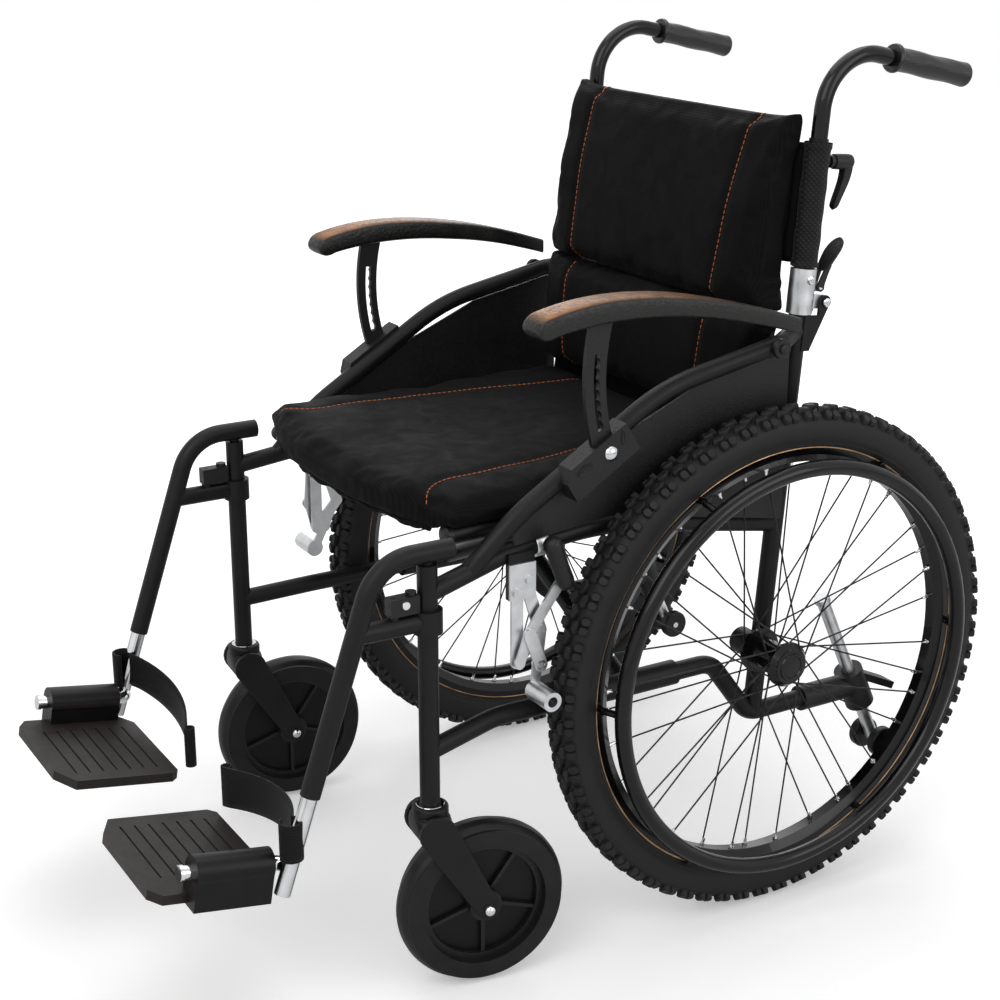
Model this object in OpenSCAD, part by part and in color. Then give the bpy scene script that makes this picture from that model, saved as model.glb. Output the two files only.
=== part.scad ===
// All terrain folding wheelchair: two welded side frames on a cross brace, spoked rear wheels,
// swivel castors, swing-away legrests, flip-up arms, half-folding back and toggle brakes.
// Millimetres. +X is the rider's left, -Y is forward, +Z is up, the floor is at zero.

/* [Rear wheels] */
// Distance between the middle planes of the rear wheels
wheel_track = 556; // [550:1:570]
// Rear tyre radius over the tread blocks
tyre_r = 305; // [300:1:310]
// Rear tyre width
tyre_w = 46; // [42:1:48]
// Height of the tread blocks
knob_h = 6; // [3:0.5:8]
// Tread blocks in one row
knob_count = 44; // [24:1:56]
// Rim radius at its outer lip
rim_r = 259; // [255:1:262]
// Rim width
rim_w = 28; // [24:1:32]
// Rim depth from lip to spoke bed
rim_depth = 19; // [14:1:22]
// Hub flange radius
hub_flange_r = 27; // [24:1:32]
// Spokes in one wheel
spoke_count = 36; // [28:4:40]
// Spoke diameter
spoke_d = 2; // [1.6:0.1:2.6]
// Axle diameter
axle_d = 12; // [10:0.5:14]
// Handrim radius at the middle of its tube
handrim_r = 243; // [241:1:247]
// Handrim tube diameter
handrim_d = 18.6; // [16:0.2:20]
// Handrim distance outboard of the wheel plane
handrim_out = 44; // [40:1:50]

/* [Castors] */
// Distance between the two castor stems
castor_track = 510; // [504:1:516]
// Castor radius
castor_r = 97; // [92:1:98]
// Castor tyre width
castor_w = 38; // [30:1:40]
// Radius at which the castor tyre meets its hub
castor_hub_r = 71; // [64:1:76]
// Distance from the stem back to the castor axle
castor_trail = 57; // [50:1:58]
// Left castor turned at rest, in degrees
castor_turn_left = -9; // [-20:1:20]
// Right castor turned at rest, in degrees
castor_turn_right = 6; // [-20:1:20]

/* [Side frames] */
// Distance from the rear axle forward to the front posts
wheelbase = 446; // [440:1:455]
// Frame tube diameter
tube_d = 22; // [20:0.5:22.5]
// Distance between the rails of the two sides
rail_track = 472; // [466:1:474]
// Distance between the two rear posts
back_track = 452; // [446:1:456]
// Top of the front post
post_top_z = 499.5; // [495:0.5:500]
// Bottom of the front post, where the castor collar meets it
post_foot_z = 226; // [226:1:236]
// Upper rail height at the front post
upper_rail_front_z = 467; // [462:1:470]
// Upper rail height at its crest
upper_rail_crest_z = 499; // [494:1:500]
// Upper rail height at the rear post
upper_rail_rear_z = 452; // [446:1:460]
// Lower rail height at the front post
lower_rail_front_z = 287; // [280:1:290]
// Lower rail height along the brace
lower_rail_z = 297; // [292:1:300]
// Lower rail height behind its drop
lower_rail_rear_z = 213; // [208:1:216]
// Arm rail height at its front bend
arch_front_z = 531; // [526:1:536]
// Arm rail height at its middle bend
arch_mid_z = 644; // [640:1:648]
// Arm rail height at its rear bend
arch_rear_z = 675; // [672:1:678]
// Rear posts lean back by this angle, in degrees
back_lean = 4.8; // [3:0.1:6]
// Height of the half-folding back's parting line
hinge_z = 700; // [698:1:706]
// Side panel thickness
panel_t = 3; // [2:0.5:3]

/* [Seat and cross brace] */
// Distance between the two seat rails
seat_rail_track = 424; // [420:1:426]
// Seat rail height
seat_rail_z = 509; // [508:0.5:512]
// Seat rail length
seat_rail_len = 388; // [370:1:390]
// Brace tube diameter
brace_d = 20; // [18:0.5:21]
// Seat cushion width
seat_w = 466; // [450:1:468]
// Seat cushion depth at its middle
seat_depth = 452; // [430:1:455]
// Seat cushion thickness at its crown
seat_t = 32; // [24:1:34]
// Back cushion width
back_w = 444; // [430:1:446]
// Back cushion thickness at its crown
back_t = 32; // [24:1:34]
// Back cushion height above the parting line
back_upper_h = 222; // [205:1:225]
// Back cushion height below the parting line
back_lower_h = 140; // [120:1:142]

/* [Legrests] */
// Hanger top tube height
hanger_z = 512; // [511.5:0.5:514]
// Hanger bend, ahead of the front post
hanger_bend_out = 58; // [52:1:62]
// Hanger leg lean, in degrees
leg_lean = 18.8; // [17:0.2:20]
// Hanger lower end height
hanger_end_z = 270; // [262:1:276]
// Chrome leg tube diameter
leg_d = 18; // [16:0.5:19]
// Chrome leg tube lower end height
leg_end_z = 166; // [160:1:172]
// Footplate hinge tube diameter
foot_hinge_d = 16; // [14:0.5:17]
// Footplate toe-up tilt, in degrees
foot_tilt = 9.5; // [6:0.5:12]
// Distance from the rear axle to the front of the footplates
foot_reach = 757; // [754:1:764]
// Footplate length, front to back
foot_len = 142; // [130:1:143]
// Gap between the two footplates
foot_gap = 104; // [100:1:120]
// Footplate thickness
foot_t = 11; // [8:0.5:13]
// Heel strap width
strap_w = 44; // [36:1:48]

/* [Armrests] */
// Distance between the inner edges of the arm pads
arm_gap = 484; // [480:1:486]
// Arm pad width
arm_w = 38; // [32:1:40]
// Arm pad length
arm_len = 348; // [340:1:352]
// Radius from the rear pivot to the curved strut
strut_r = 250; // [246:1:254]
// Width of the curved strut
strut_w = 26; // [22:1:28]

/* [Brakes] */
// Brake bar diameter
brake_bar_d = 22; // [18:0.5:22]
// Brake bar length
brake_bar_len = 40; // [34:1:42]
// Gap from the locked bar to the tyre
brake_gap = 1.4; // [1:0.1:3]
// Lever travel from locked to released, in degrees
brake_release = 32; // [24:1:34]

/* [Push handles] */
// Push handle tube diameter
handle_d = 19; // [17:0.5:19]
// Height of the handle bend above the parting line
handle_h = 299; // [292:1:310]
// Handle length behind its bend
handle_len = 210; // [200:1:214]
// Handle droop, in degrees
handle_drop = 7.6; // [4:0.2:10]
// Grip length
grip_len = 118; // [110:1:118]
// Grip diameter
grip_d = 29; // [27:0.5:31]

/* [Anti-tip] */
// Anti-tip leg width across the chair
tip_leg_x = 18; // [16:0.5:18]
// Anti-tip leg width front to back
tip_leg_y = 14; // [12:0.5:15]
// Anti-tip wheel radius
tip_wheel_r = 19.5; // [17:0.5:21]
// Anti-tip wheel axle height
tip_wheel_z = 131; // [126:1:134]

/* [Hidden] */
$fn = 48;

// Fits and cuts
run_fit = 0.05;
seat_fit = 0.15;
gap = 0.3;
over = 1;
strip_shy = 0.15;
// Bent runs of tube are drawn a hair slimmer, and straight runs lap into them
bend_shy = 0.06;
bend_lap = 0.5;
// Rails are a hair slimmer than the posts that they meet
rail_shy = 0.2;
arch_shy = 0.4;

// Colours as photographed
frame_black = [0.13, 0.13, 0.135];
gloss_black = [0.05, 0.05, 0.055];
plastic_black = [0.09, 0.09, 0.09];
foot_brown = [0.16, 0.145, 0.14];
rubber_black = [0.06, 0.06, 0.06];
cloth_black = [0.08, 0.08, 0.085];
satin_silver = [0.78, 0.78, 0.77];
chrome = [0.85, 0.85, 0.86];

// The sides move apart with the cushion that needs it, from the widths that the tracks are given for
seat_drawn_w = 466;
back_drawn_w = 444;
spread = max(seat_w - seat_drawn_w, back_w - back_drawn_w) / 2;

// Places that follow from the driving sizes
wheel_x = wheel_track / 2 + spread;
axle_z = tyre_r;
axle_r = axle_d / 2;
post_x = castor_track / 2 + spread;
post_y = -wheelbase;
rail_x = rail_track / 2 + spread;
back_x = back_track / 2 + spread;
tube_r = tube_d / 2;
rail_r = tube_r - rail_shy;
arch_r = tube_r - arch_shy;
brace_r = brace_d / 2;
leg_r = leg_d / 2;
handle_r = handle_d / 2;
seat_rail_x = seat_rail_track / 2 + spread;
axle_y = (foot_reach - tyre_r) / 2;

// Side frame bends
upper_bend_y = -340;
upper_bend_z = 486;
upper_crest_y = -215;
lower_bend_y = -355;
lower_drop_y = -62;
lower_foot_y = 4;
arch_start_y = -393;
arch_front_y = -335;
arch_mid_y = -150;
arch_rear_y = 8;
arch_out = 250;
arch_x = arch_out + spread;
back_foot_y = 11;
rail_bends = [160, 400];
arch_bends = [200, 250, 22];
lower_bends = [120, 34, 34];
function back_y(z) = back_foot_y + (z - lower_rail_rear_z) * tan(back_lean);
function back_point(z) = [back_x, back_y(z), z];
// The upper rail runs straight between its front post and its first bend
function upper_share(y) = (y - post_y) / (upper_bend_y - post_y);
function mix(a, b, t) = a + (b - a) * t;
arch_start = [mix(post_x, rail_x, upper_share(arch_start_y)), arch_start_y,
              mix(upper_rail_front_z, upper_bend_z, upper_share(arch_start_y))];
upper_rail = [[post_x, post_y, upper_rail_front_z], [rail_x, upper_bend_y, upper_bend_z],
              [rail_x, upper_crest_y, upper_rail_crest_z], back_point(upper_rail_rear_z)];
lower_rail_end_y = 104;
lower_rail = [[post_x, post_y, lower_rail_front_z], [rail_x, lower_bend_y, lower_rail_z],
              [rail_x, lower_drop_y, lower_rail_z], [back_x, lower_foot_y, lower_rail_rear_z],
              [back_x, lower_rail_end_y, lower_rail_rear_z]];
arch_end_z = 681;
arch_rail = [arch_start, [arch_x, arch_front_y, arch_front_z], [arch_x, arch_mid_y, arch_mid_z],
             [arch_x, arch_rear_y, arch_rear_z], back_point(arch_end_z)];
arch_slope = atan2(arch_mid_z - arch_front_z, arch_mid_y - arch_front_y);

// Directions and tubes
function unit(v) = v / norm(v);
function bend_turn(a, b, c) = acos(unit(b - a) * unit(c - b));
function bend_reach(a, b, c, bend) = bend * tan(bend_turn(a, b, c) / 2);

module along(a, b) {
  d = b - a;
  translate(a) rotate([0, acos(d.z / norm(d)), atan2(d.y, d.x)]) children();
}

module rod(a, b, r) {
  along(a, b) cylinder(r = r, h = norm(b - a));
}

// A torus piece that joins two straight runs at a corner
module elbow(a, b, c, r, bend) {
  u = unit(b - a);
  v = unit(c - b);
  inward = unit(v - u * (u * v));
  middle = b - u * bend_reach(a, b, c, bend) + inward * bend;
  side = cross(-inward, u);
  multmatrix([[-inward.x, u.x, side.x, middle.x],
              [-inward.y, u.y, side.y, middle.y],
              [-inward.z, u.z, side.z, middle.z]])
    rotate_extrude(angle = bend_turn(a, b, c)) translate([bend, 0]) circle(r = r);
}

// A bent tube through the given corners, one bend radius for each inner corner
module tube_run(points, r, bends) {
  last = len(points) - 1;
  reach = [for (i = [0:last])
    i == 0 || i == last ? 0 : bend_reach(points[i - 1], points[i], points[i + 1], bends[i - 1])];
  for (i = [0:last - 1]) {
    dir = unit(points[i + 1] - points[i]);
    lap0 = i == 0 ? 0 : bend_lap;
    lap1 = i == last - 1 ? 0 : bend_lap;
    rod(points[i] + dir * (reach[i] - lap0), points[i + 1] - dir * (reach[i + 1] - lap1), r);
  }
  for (i = [1:last - 1])
    elbow(points[i - 1], points[i], points[i + 1], r - bend_shy, bends[i - 1]);
}

// A flat shape drawn in Y and Z, made solid from x0 to x1
module plate_yz(x0, x1) {
  translate([x0, 0, 0]) rotate([90, 0, 90]) linear_extrude(x1 - x0) children();
}

// A flat shape drawn in X and Z, made solid from y0 to y1
module plate_xz(y0, y1) {
  translate([0, y1, 0]) rotate([90, 0, 0]) linear_extrude(y1 - y0) children();
}

// A round bar across the chair
module cross_pin(x0, x1, y, z, r) {
  translate([x0, y, z]) rotate([0, 90, 0]) cylinder(r = r, h = x1 - x0);
}

// A strip with round ends, its sides a little inside the ends so that they cross cleanly
module strip(a, b, w) {
  translate(a) circle(d = w);
  translate(b) circle(d = w);
  translate(a) rotate(atan2(b.y - a.y, b.x - a.x)) translate([0, strip_shy - w / 2])
    square([norm(b - a), w - strip_shy * 2]);
}

// Places a left-hand piece, or its mirror image, about the middle of the chair's length
module on_left() {
  translate([0, axle_y, 0]) children();
}

module on_right() {
  translate([0, axle_y, 0]) mirror([1, 0, 0]) children();
}

// The leaning frame of the back, with its origin on the post axis at the parting line
module on_back(x) {
  translate([x, back_y(hinge_z), hinge_z]) rotate([-back_lean, 0, 0]) children();
}

// Side frame

receiver_r = 16;
receiver_in = 14;
receiver_out = 14;
hub_end_in = 37;
axle_end_out = 24;
stem_r = 8;
stem_len = 62;
hanger_pin_r = 6;
hanger_pin_len = 44;
brake_bracket_in = 9;
brake_bracket_out = 16;
// The bracket also clears the upper rail where the arm rail leaves it, so the released lever swings past
brake_bracket_side = 6.5;
brake_bracket_x0 = rail_x + brake_bracket_in;
brake_bracket_x1 = max(rail_x + brake_bracket_out, arch_start.x + brake_bracket_side);
brake_bracket_y0 = -346;
brake_bracket_y1 = -314;
brake_bracket_z0 = 437;
brake_bracket_z1 = 489;
cradle_y = [-300, -90];
cradle_len = 26;
cradle_drop = 6;
cradle_lip = 4;
hinge_pin_y = 27;
hinge_pin_z = 14;
hinge_ear_r = 8;
hinge_pin_r = 4;
cheek_in = 9.5;
cheek_t = 3;
cheek_low = 42;
arm_pivot_y = -1;
arm_pivot_z = 673;
arm_pivot_r = 5;
arm_cheek_out = 261.5;
arm_cheek_x = arm_cheek_out + spread;
arm_cheek_t = 5;
// Room cut into the pad round its pivot, so that it swings clear of the arm rail
arm_notch_r = 50;

module hinge_cheek(x0) {
  on_back(back_x) plate_yz(x0, x0 + cheek_t) {
    translate([hinge_pin_y, hinge_pin_z]) circle(r = hinge_ear_r);
    polygon([[0, -cheek_low], [0, -over], [hinge_pin_y - hinge_ear_r, -over],
             [hinge_pin_y - hinge_ear_r, hinge_pin_z], [hinge_pin_y + hinge_ear_r, hinge_pin_z],
             [tube_r, -cheek_low]]);
  }
}

module seat_cradle(y) {
  first = y < upper_crest_y ? 1 : 2;
  foot_z = line_z(upper_rail[first], upper_rail[first + 1], y);
  difference() {
    translate([seat_rail_x - tube_r, y - cradle_len / 2, foot_z])
      cube([rail_x - seat_rail_x + tube_r, cradle_len, seat_rail_z - gap - foot_z]);
    translate([seat_rail_x, y - cradle_len, seat_rail_z]) rotate([-90, 0, 0])
      cylinder(r = tube_r + gap, h = 2 * cradle_len);
    translate([0, y - cradle_len, 0])
      cube([seat_rail_x - cradle_lip, 2 * cradle_len, seat_rail_z - tube_r - cradle_drop]);
  }
}

module side_frame() {
  color(frame_black) difference() {
    union() {
      rod([post_x, post_y, post_foot_z], [post_x, post_y, post_top_z], tube_r);
      tube_run(upper_rail, rail_r, rail_bends);
      tube_run(arch_rail, arch_r, arch_bends);
      tube_run(lower_rail, rail_r, lower_bends);
      rod(back_point(lower_rail_rear_z), back_point(hinge_z - gap), tube_r);
      cross_pin(back_x - receiver_in, back_x + receiver_out, 0, axle_z, receiver_r);
      cross_pin(back_x, wheel_x + axle_end_out, 0, axle_z, axle_r);
      translate([brake_bracket_x0, brake_bracket_y0, brake_bracket_z0])
        cube([brake_bracket_x1 - brake_bracket_x0, brake_bracket_y1 - brake_bracket_y0,
              brake_bracket_z1 - brake_bracket_z0]);
      for (y = cradle_y)
        seat_cradle(y);
      hinge_cheek(cheek_in);
      hinge_cheek(-cheek_in - cheek_t);
      on_back(back_x) cross_pin(-cheek_in - cheek_t, cheek_in + cheek_t, hinge_pin_y, hinge_pin_z,
                                hinge_pin_r);
      cross_pin(arch_x, arm_cheek_x + arm_cheek_t + over, arm_pivot_y, arm_pivot_z, arm_pivot_r);
    }
    translate([post_x, post_y, post_foot_z - over]) cylinder(r = stem_r + run_fit, h = stem_len + over);
    translate([post_x, post_y, post_top_z - hanger_pin_len])
      cylinder(r = hanger_pin_r + run_fit, h = hanger_pin_len + over);
  }
}

// Side panel with the strut guide

panel_x = arch_x - panel_t;
panel_front_y = -338;
panel_rear_y = 22;
panel_drop = tube_r + gap;
guide_len = 92;
guide_h = 36;
guide_x0 = arch_x;
guide_out = 275;
guide_x1 = guide_out + spread;
guide_y = -245;
guide_drop = 4;
strut_out = 263;
strut_x0 = strut_out + spread;
strut_t = 6;
strut_low = 19;

function line_z(a, b, y) = a.z + (b.z - a.z) * (y - a.y) / (b.y - a.y);
// The panel's upper edge hangs under the arm rail, its lower edge stands on the upper rail
function under_arch(y, a, b) = line_z(a, b, y) - panel_drop / cos(atan2(b.z - a.z, b.y - a.y));
function over_rail(y, a, b) = line_z(a, b, y) + panel_drop / cos(atan2(b.z - a.z, b.y - a.y));
arch_round_y = 46;
panel_outline = [
  [panel_front_y, over_rail(panel_front_y, upper_rail[1], upper_rail[2]) + gap],
  [panel_front_y, under_arch(panel_front_y, arch_rail[0], arch_rail[1])],
  [arch_front_y + arch_round_y / 2, under_arch(arch_front_y + arch_round_y / 2, arch_rail[1], arch_rail[2])],
  [arch_mid_y - arch_round_y, under_arch(arch_mid_y - arch_round_y, arch_rail[1], arch_rail[2])],
  [arch_mid_y + arch_round_y, under_arch(arch_mid_y + arch_round_y, arch_rail[2], arch_rail[3])],
  [panel_rear_y, under_arch(panel_rear_y, arch_rail[2], arch_rail[3])],
  [panel_rear_y, over_rail(panel_rear_y, upper_rail[2], upper_rail[3])],
  [upper_crest_y + arch_round_y, over_rail(upper_crest_y + arch_round_y, upper_rail[2], upper_rail[3])],
  [upper_crest_y, upper_rail_crest_z + panel_drop],
  [upper_crest_y - arch_round_y, over_rail(upper_crest_y - arch_round_y, upper_rail[1], upper_rail[2])]];

// A curved bar about the arm pivot, from a low angle to a high angle
module strut_arc(r0, r1, x0, x1, low, high) {
  translate([0, arm_pivot_y, arm_pivot_z]) rotate([0, 90, 0]) rotate([0, 0, -90 - high])
    rotate_extrude(angle = high + low) translate([r0, x0]) square([r1 - r0, x1 - x0]);
}

module strut_guide() {
  mid_z = line_z(arch_rail[1], arch_rail[2], guide_y) - guide_drop;
  difference() {
    translate([guide_x0, guide_y, mid_z]) rotate([arch_slope, 0, 0]) difference() {
      translate([0, -guide_len / 2, -guide_h / 2]) cube([guide_x1 - guide_x0, guide_len, guide_h]);
      translate([0, -guide_len / 2, guide_h / 2]) rotate([0, 90, 0])
        cylinder(r = guide_h / 3, h = guide_x1 - guide_x0, $fn = 4);
    }
    rod(arch_rail[1], arch_rail[2], arch_r + seat_fit);
    strut_arc(strut_r - strut_w / 2 - gap, strut_r + strut_w / 2 + gap, strut_x0 - gap,
              strut_x0 + strut_t + gap, strut_low + over, 0);
  }
}

module side_panel() {
  color(plastic_black) {
    plate_yz(panel_x, arch_x) polygon(panel_outline);
    strut_guide();
  }
}

// Anti-tip sleeve, leg and wheels

tip_sleeve_r = 15.5;
tip_sleeve_y0 = 84;
tip_cut = 144;
tip_leg_top_y = 111;
tip_leg_top_z = 341;
tip_wheel_y = 209;
tip_wheel_w = 13;
tip_wheel_off = 17;
tip_axle_r = 4;
tip_head_r = 18;
tip_head_up = 24;
tip_head_down = 30;
tip_tail_len = 66;
tip_tail_t = 9;
tip_tail_w = 26;
tip_cap_h = 7;
tip_lean = atan2(tip_wheel_y - tip_leg_top_y, tip_leg_top_z - tip_wheel_z);
tip_cross_y = tip_leg_top_y + (tip_leg_top_z - lower_rail_rear_z) * tan(tip_lean);

module on_tip_leg() {
  translate([back_x, tip_cross_y, lower_rail_rear_z]) rotate([tip_lean, 0, 0]) children();
}

// An oval drawn across the leg
module oval(wx, wy) {
  r = min(wx, wy) / 2;
  reach = (wx - wy) / 2;
  for (s = [-1, 1])
    translate([s * reach, 0]) circle(r = r);
  square([2 * reach, wy], center = true);
}

module antitip_sleeve() {
  color(plastic_black) difference() {
    union() {
      translate([back_x, tip_sleeve_y0, lower_rail_rear_z]) rotate([-90, 0, 0])
        cylinder(r = tip_sleeve_r, h = tip_cross_y - tip_sleeve_y0);
      on_tip_leg() translate([0, 0, -tip_head_down])
        cylinder(r = tip_head_r, h = tip_head_up + tip_head_down);
      on_tip_leg() translate([-tip_tail_w / 2, 0, tip_head_up - tip_tail_t]) rotate([-tip_lean * 2, 0, 0])
        cube([tip_tail_w, tip_tail_len, tip_tail_t]);
    }
    translate([back_x, tip_sleeve_y0 - over, lower_rail_rear_z]) rotate([-90, 0, 0])
      cylinder(r = rail_r + seat_fit, h = lower_rail_end_y - tip_sleeve_y0 + 2 * over);
    on_tip_leg() translate([0, 0, -tip_cut / 2]) linear_extrude(tip_cut)
      oval(tip_leg_x + 2 * gap, tip_leg_y + 2 * gap);
  }
}

module antitip_leg() {
  top = (tip_leg_top_z - lower_rail_rear_z) / cos(tip_lean);
  bottom = (lower_rail_rear_z - tip_wheel_z) / cos(tip_lean);
  color(satin_silver) {
    on_tip_leg() translate([0, 0, -bottom])
      linear_extrude(top + bottom - tip_cap_h) oval(tip_leg_x, tip_leg_y);
    cross_pin(back_x - tip_wheel_off - tip_wheel_w / 2, back_x + tip_wheel_off + tip_wheel_w / 2,
              tip_wheel_y, tip_wheel_z, tip_axle_r);
  }
  color(plastic_black) on_tip_leg() translate([0, 0, top - tip_cap_h])
    cylinder(r = tip_leg_x / 2 + over, h = tip_cap_h);
}

module antitip_wheels() {
  color(rubber_black) for (s = [-1, 1])
    translate([back_x + s * tip_wheel_off, tip_wheel_y, tip_wheel_z]) rotate([0, 90, 0])
      rotate_extrude() difference() {
        union() {
          translate([0, -tip_wheel_w / 2]) square([tip_wheel_r - tip_wheel_w / 4, tip_wheel_w]);
          translate([0, -tip_wheel_w / 4]) square([tip_wheel_r, tip_wheel_w / 2]);
          for (e = [-1, 1])
            translate([tip_wheel_r - tip_wheel_w / 4, e * tip_wheel_w / 4]) circle(r = tip_wheel_w / 4);
        }
        translate([-over, -tip_wheel_w]) square([tip_axle_r + run_fit + over, tip_wheel_w * 2]);
      }
}

// Castors

castor_axle_z = castor_r;
fork_crown_sink = 2;
fork_crown_z0 = castor_r * 2 - fork_crown_sink;
fork_crown_t = 15;
fork_collar_r = 19;
fork_leg_t = 6;
fork_leg_gap = 3.5;
fork_head_r = 21;
fork_foot_r = 13;
castor_bolt_r = 5;
castor_nut_r = 8;
castor_nut_t = 4;
castor_boss_r = 18.5;
castor_rim_t = 7;
castor_web_t = 17;
castor_disc_t = 6;
castor_spokes = 5;
castor_spoke_w = 4;
castor_round_share = 0.5;
castor_half = castor_w / 2;
fork_in = castor_half + fork_leg_gap;

module on_castor(turn) {
  translate([post_x, post_y, 0]) rotate([0, 0, turn]) children();
}

module fork_leg(s) {
  x0 = s > 0 ? fork_in : -fork_in - fork_leg_t;
  head = [0, fork_crown_z0];
  foot = [castor_trail, castor_axle_z];
  axis = unit(foot - head);
  normal = [-axis.y, axis.x];
  plate_yz(x0, x0 + fork_leg_t) {
    translate(foot) circle(r = fork_foot_r);
    polygon([head + normal * fork_head_r, head - normal * fork_head_r, foot - normal * fork_foot_r,
             foot + normal * fork_foot_r]);
    translate([-fork_head_r, fork_crown_z0]) square([2 * fork_head_r, fork_crown_t]);
    translate(head) circle(r = fork_head_r);
  }
}

module castor_fork(turn) {
  color(frame_black) on_castor(turn) {
    translate([-fork_in, -fork_head_r, fork_crown_z0]) cube([2 * fork_in, 2 * fork_head_r, fork_crown_t]);
    for (s = [-1, 1])
      fork_leg(s);
    translate([0, 0, fork_crown_z0]) cylinder(r = fork_collar_r, h = post_foot_z - gap - fork_crown_z0);
    translate([0, 0, fork_crown_z0]) cylinder(r = stem_r, h = post_foot_z + stem_len - gap - fork_crown_z0);
  }
  color(chrome) on_castor(turn) {
    cross_pin(-fork_in - over, fork_in + over, castor_trail, castor_axle_z, castor_bolt_r);
    for (x = [fork_in + fork_leg_t, -fork_in - fork_leg_t - castor_nut_t])
      cross_pin(x, x + castor_nut_t, castor_trail, castor_axle_z, castor_nut_r);
  }
}

module castor_wheel(turn) {
  on_castor(turn) translate([0, castor_trail, castor_axle_z]) rotate([0, 90, 0]) {
    color(plastic_black) difference() {
      union() {
        rotate_extrude() translate([castor_hub_r - castor_rim_t, -castor_half * castor_round_share])
          square([castor_rim_t - run_fit, castor_w * castor_round_share]);
        translate([0, 0, -castor_half]) cylinder(r = castor_boss_r, h = castor_w);
        translate([0, 0, -castor_disc_t / 2])
          cylinder(r = castor_hub_r - castor_rim_t + over, h = castor_disc_t);
        for (i = [0:castor_spokes - 1])
          rotate(i * 360 / castor_spokes) translate([0, -castor_spoke_w / 2, -castor_web_t / 2])
            cube([castor_hub_r - castor_rim_t + over, castor_spoke_w, castor_web_t]);
      }
      translate([0, 0, -castor_w]) cylinder(r = castor_bolt_r + run_fit, h = castor_w * 2);
    }
    color(rubber_black) rotate_extrude() difference() {
      translate([castor_hub_r + castor_half * castor_round_share, 0]) union() {
        square([castor_half, castor_w], center = true);
        translate([castor_r - castor_hub_r - castor_half * castor_round_share - castor_half, 0])
          circle(r = castor_half);
      }
      translate([0, -castor_w]) square([castor_hub_r, castor_w * 2]);
    }
  }
}

// Rear wheels

bead = 0.05;
tyre_half = tyre_w / 2;
crown_r = tyre_r - knob_h;
crown_half_share = 0.48;
shoulder_share = 0.84;
shoulder_drop = 6;
wall_drop = 16;
bead_rise = 10;
bead_half_share = 0.62;
knob_angle_share = 0.52;
knob_inner_share = 0.06;
knob_taper = 1;
knob_sink = 0.6;
hub_barrel_r = 18;
hub_waist_r = 14;
hub_flange_t = 3.5;
hub_in = 27;
hub_out = 20;
hub_cap_out = 30;
hub_cap_r = 21;
spoke_cross = 62;
spoke_bed_off = 3;
standoffs = 6;
standoff_r = 4.5;
standoff_h = 8;

module on_wheel() {
  translate([wheel_x, 0, axle_z]) rotate([0, 90, 0]) children();
}

crown_half = tyre_half * crown_half_share;
shoulder = [crown_r - shoulder_drop, tyre_half * shoulder_share];
crown_edge = [crown_r, crown_half];

module tyre_carcass() {
  half = [[rim_r + bead, tyre_half * bead_half_share], [rim_r + bead_rise, tyre_half * shoulder_share],
          [crown_r - wall_drop, tyre_half], shoulder, crown_edge];
  rotate_extrude() polygon(concat([for (p = half) [p.x, -p.y]], [for (i = [len(half) - 1:-1:0]) half[i]]));
}

// One tread block from its two foot points, rising by the knob height along a given direction
module knob(a, b, rise, turn) {
  span = 360 / knob_count * knob_angle_share;
  sink = unit(rise) * knob_sink;
  rotate(turn) rotate_extrude(angle = span)
    polygon([a - sink, b - sink, b + rise - [0, knob_taper], a + rise + [0, knob_taper]]);
}

module tyre() {
  pitch = 360 / knob_count;
  slope = unit(shoulder - crown_edge);
  outward = [slope.y, -slope.x];
  color(rubber_black) on_wheel() {
    tyre_carcass();
    for (i = [0:knob_count - 1], s = [0, 1]) mirror([0, 0, s]) {
      knob([crown_r, crown_half * knob_inner_share], [crown_r, crown_half - knob_taper], [knob_h, 0],
           (i + s / 2) * pitch);
      knob(crown_edge + slope * knob_taper, shoulder, outward * knob_h * shoulder_share,
           (i + 1 / 2 + s / 2) * pitch);
    }
  }
}

module rim() {
  half = rim_w / 2;
  bed = rim_r - rim_depth;
  color(gloss_black) on_wheel() rotate_extrude()
    polygon([[rim_r, -half], [rim_r, half], [bed + rim_depth / 2, half], [bed, half / 2], [bed, -half / 2],
             [bed + rim_depth / 2, -half]]);
}

module hub() {
  per_side = spoke_count / 2;
  bed = rim_r - rim_depth - gap;
  hole_r = hub_flange_r - hub_flange_t;
  color(frame_black) on_wheel() {
    rotate_extrude() difference() {
      polygon([[0, -hub_end_in], [hub_waist_r, -hub_end_in], [hub_waist_r, -hub_in - hub_flange_t],
               [hub_flange_r, -hub_in - hub_flange_t], [hub_flange_r, -hub_in], [hub_barrel_r, -hub_in],
               [hub_barrel_r, hub_out], [hub_flange_r, hub_out], [hub_flange_r, hub_out + hub_flange_t],
               [hub_cap_r, hub_cap_out], [0, hub_cap_out]]);
      translate([-over, -hub_end_in - over])
        square([axle_r + run_fit + over, hub_end_in + axle_end_out + 2 * over]);
    }
    for (i = [0:per_side - 1], s = [-1, 1]) {
      a = (i + s / 4) * 360 / per_side;
      b = a + spoke_cross * (i % 2 == 0 ? 1 : -1);
      flange = s > 0 ? hub_out + hub_flange_t / 2 : -hub_in - hub_flange_t / 2;
      rod([hole_r * cos(a), hole_r * sin(a), flange], [bed * cos(b), bed * sin(b), s * spoke_bed_off],
          spoke_d / 2);
    }
  }
}

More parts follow.
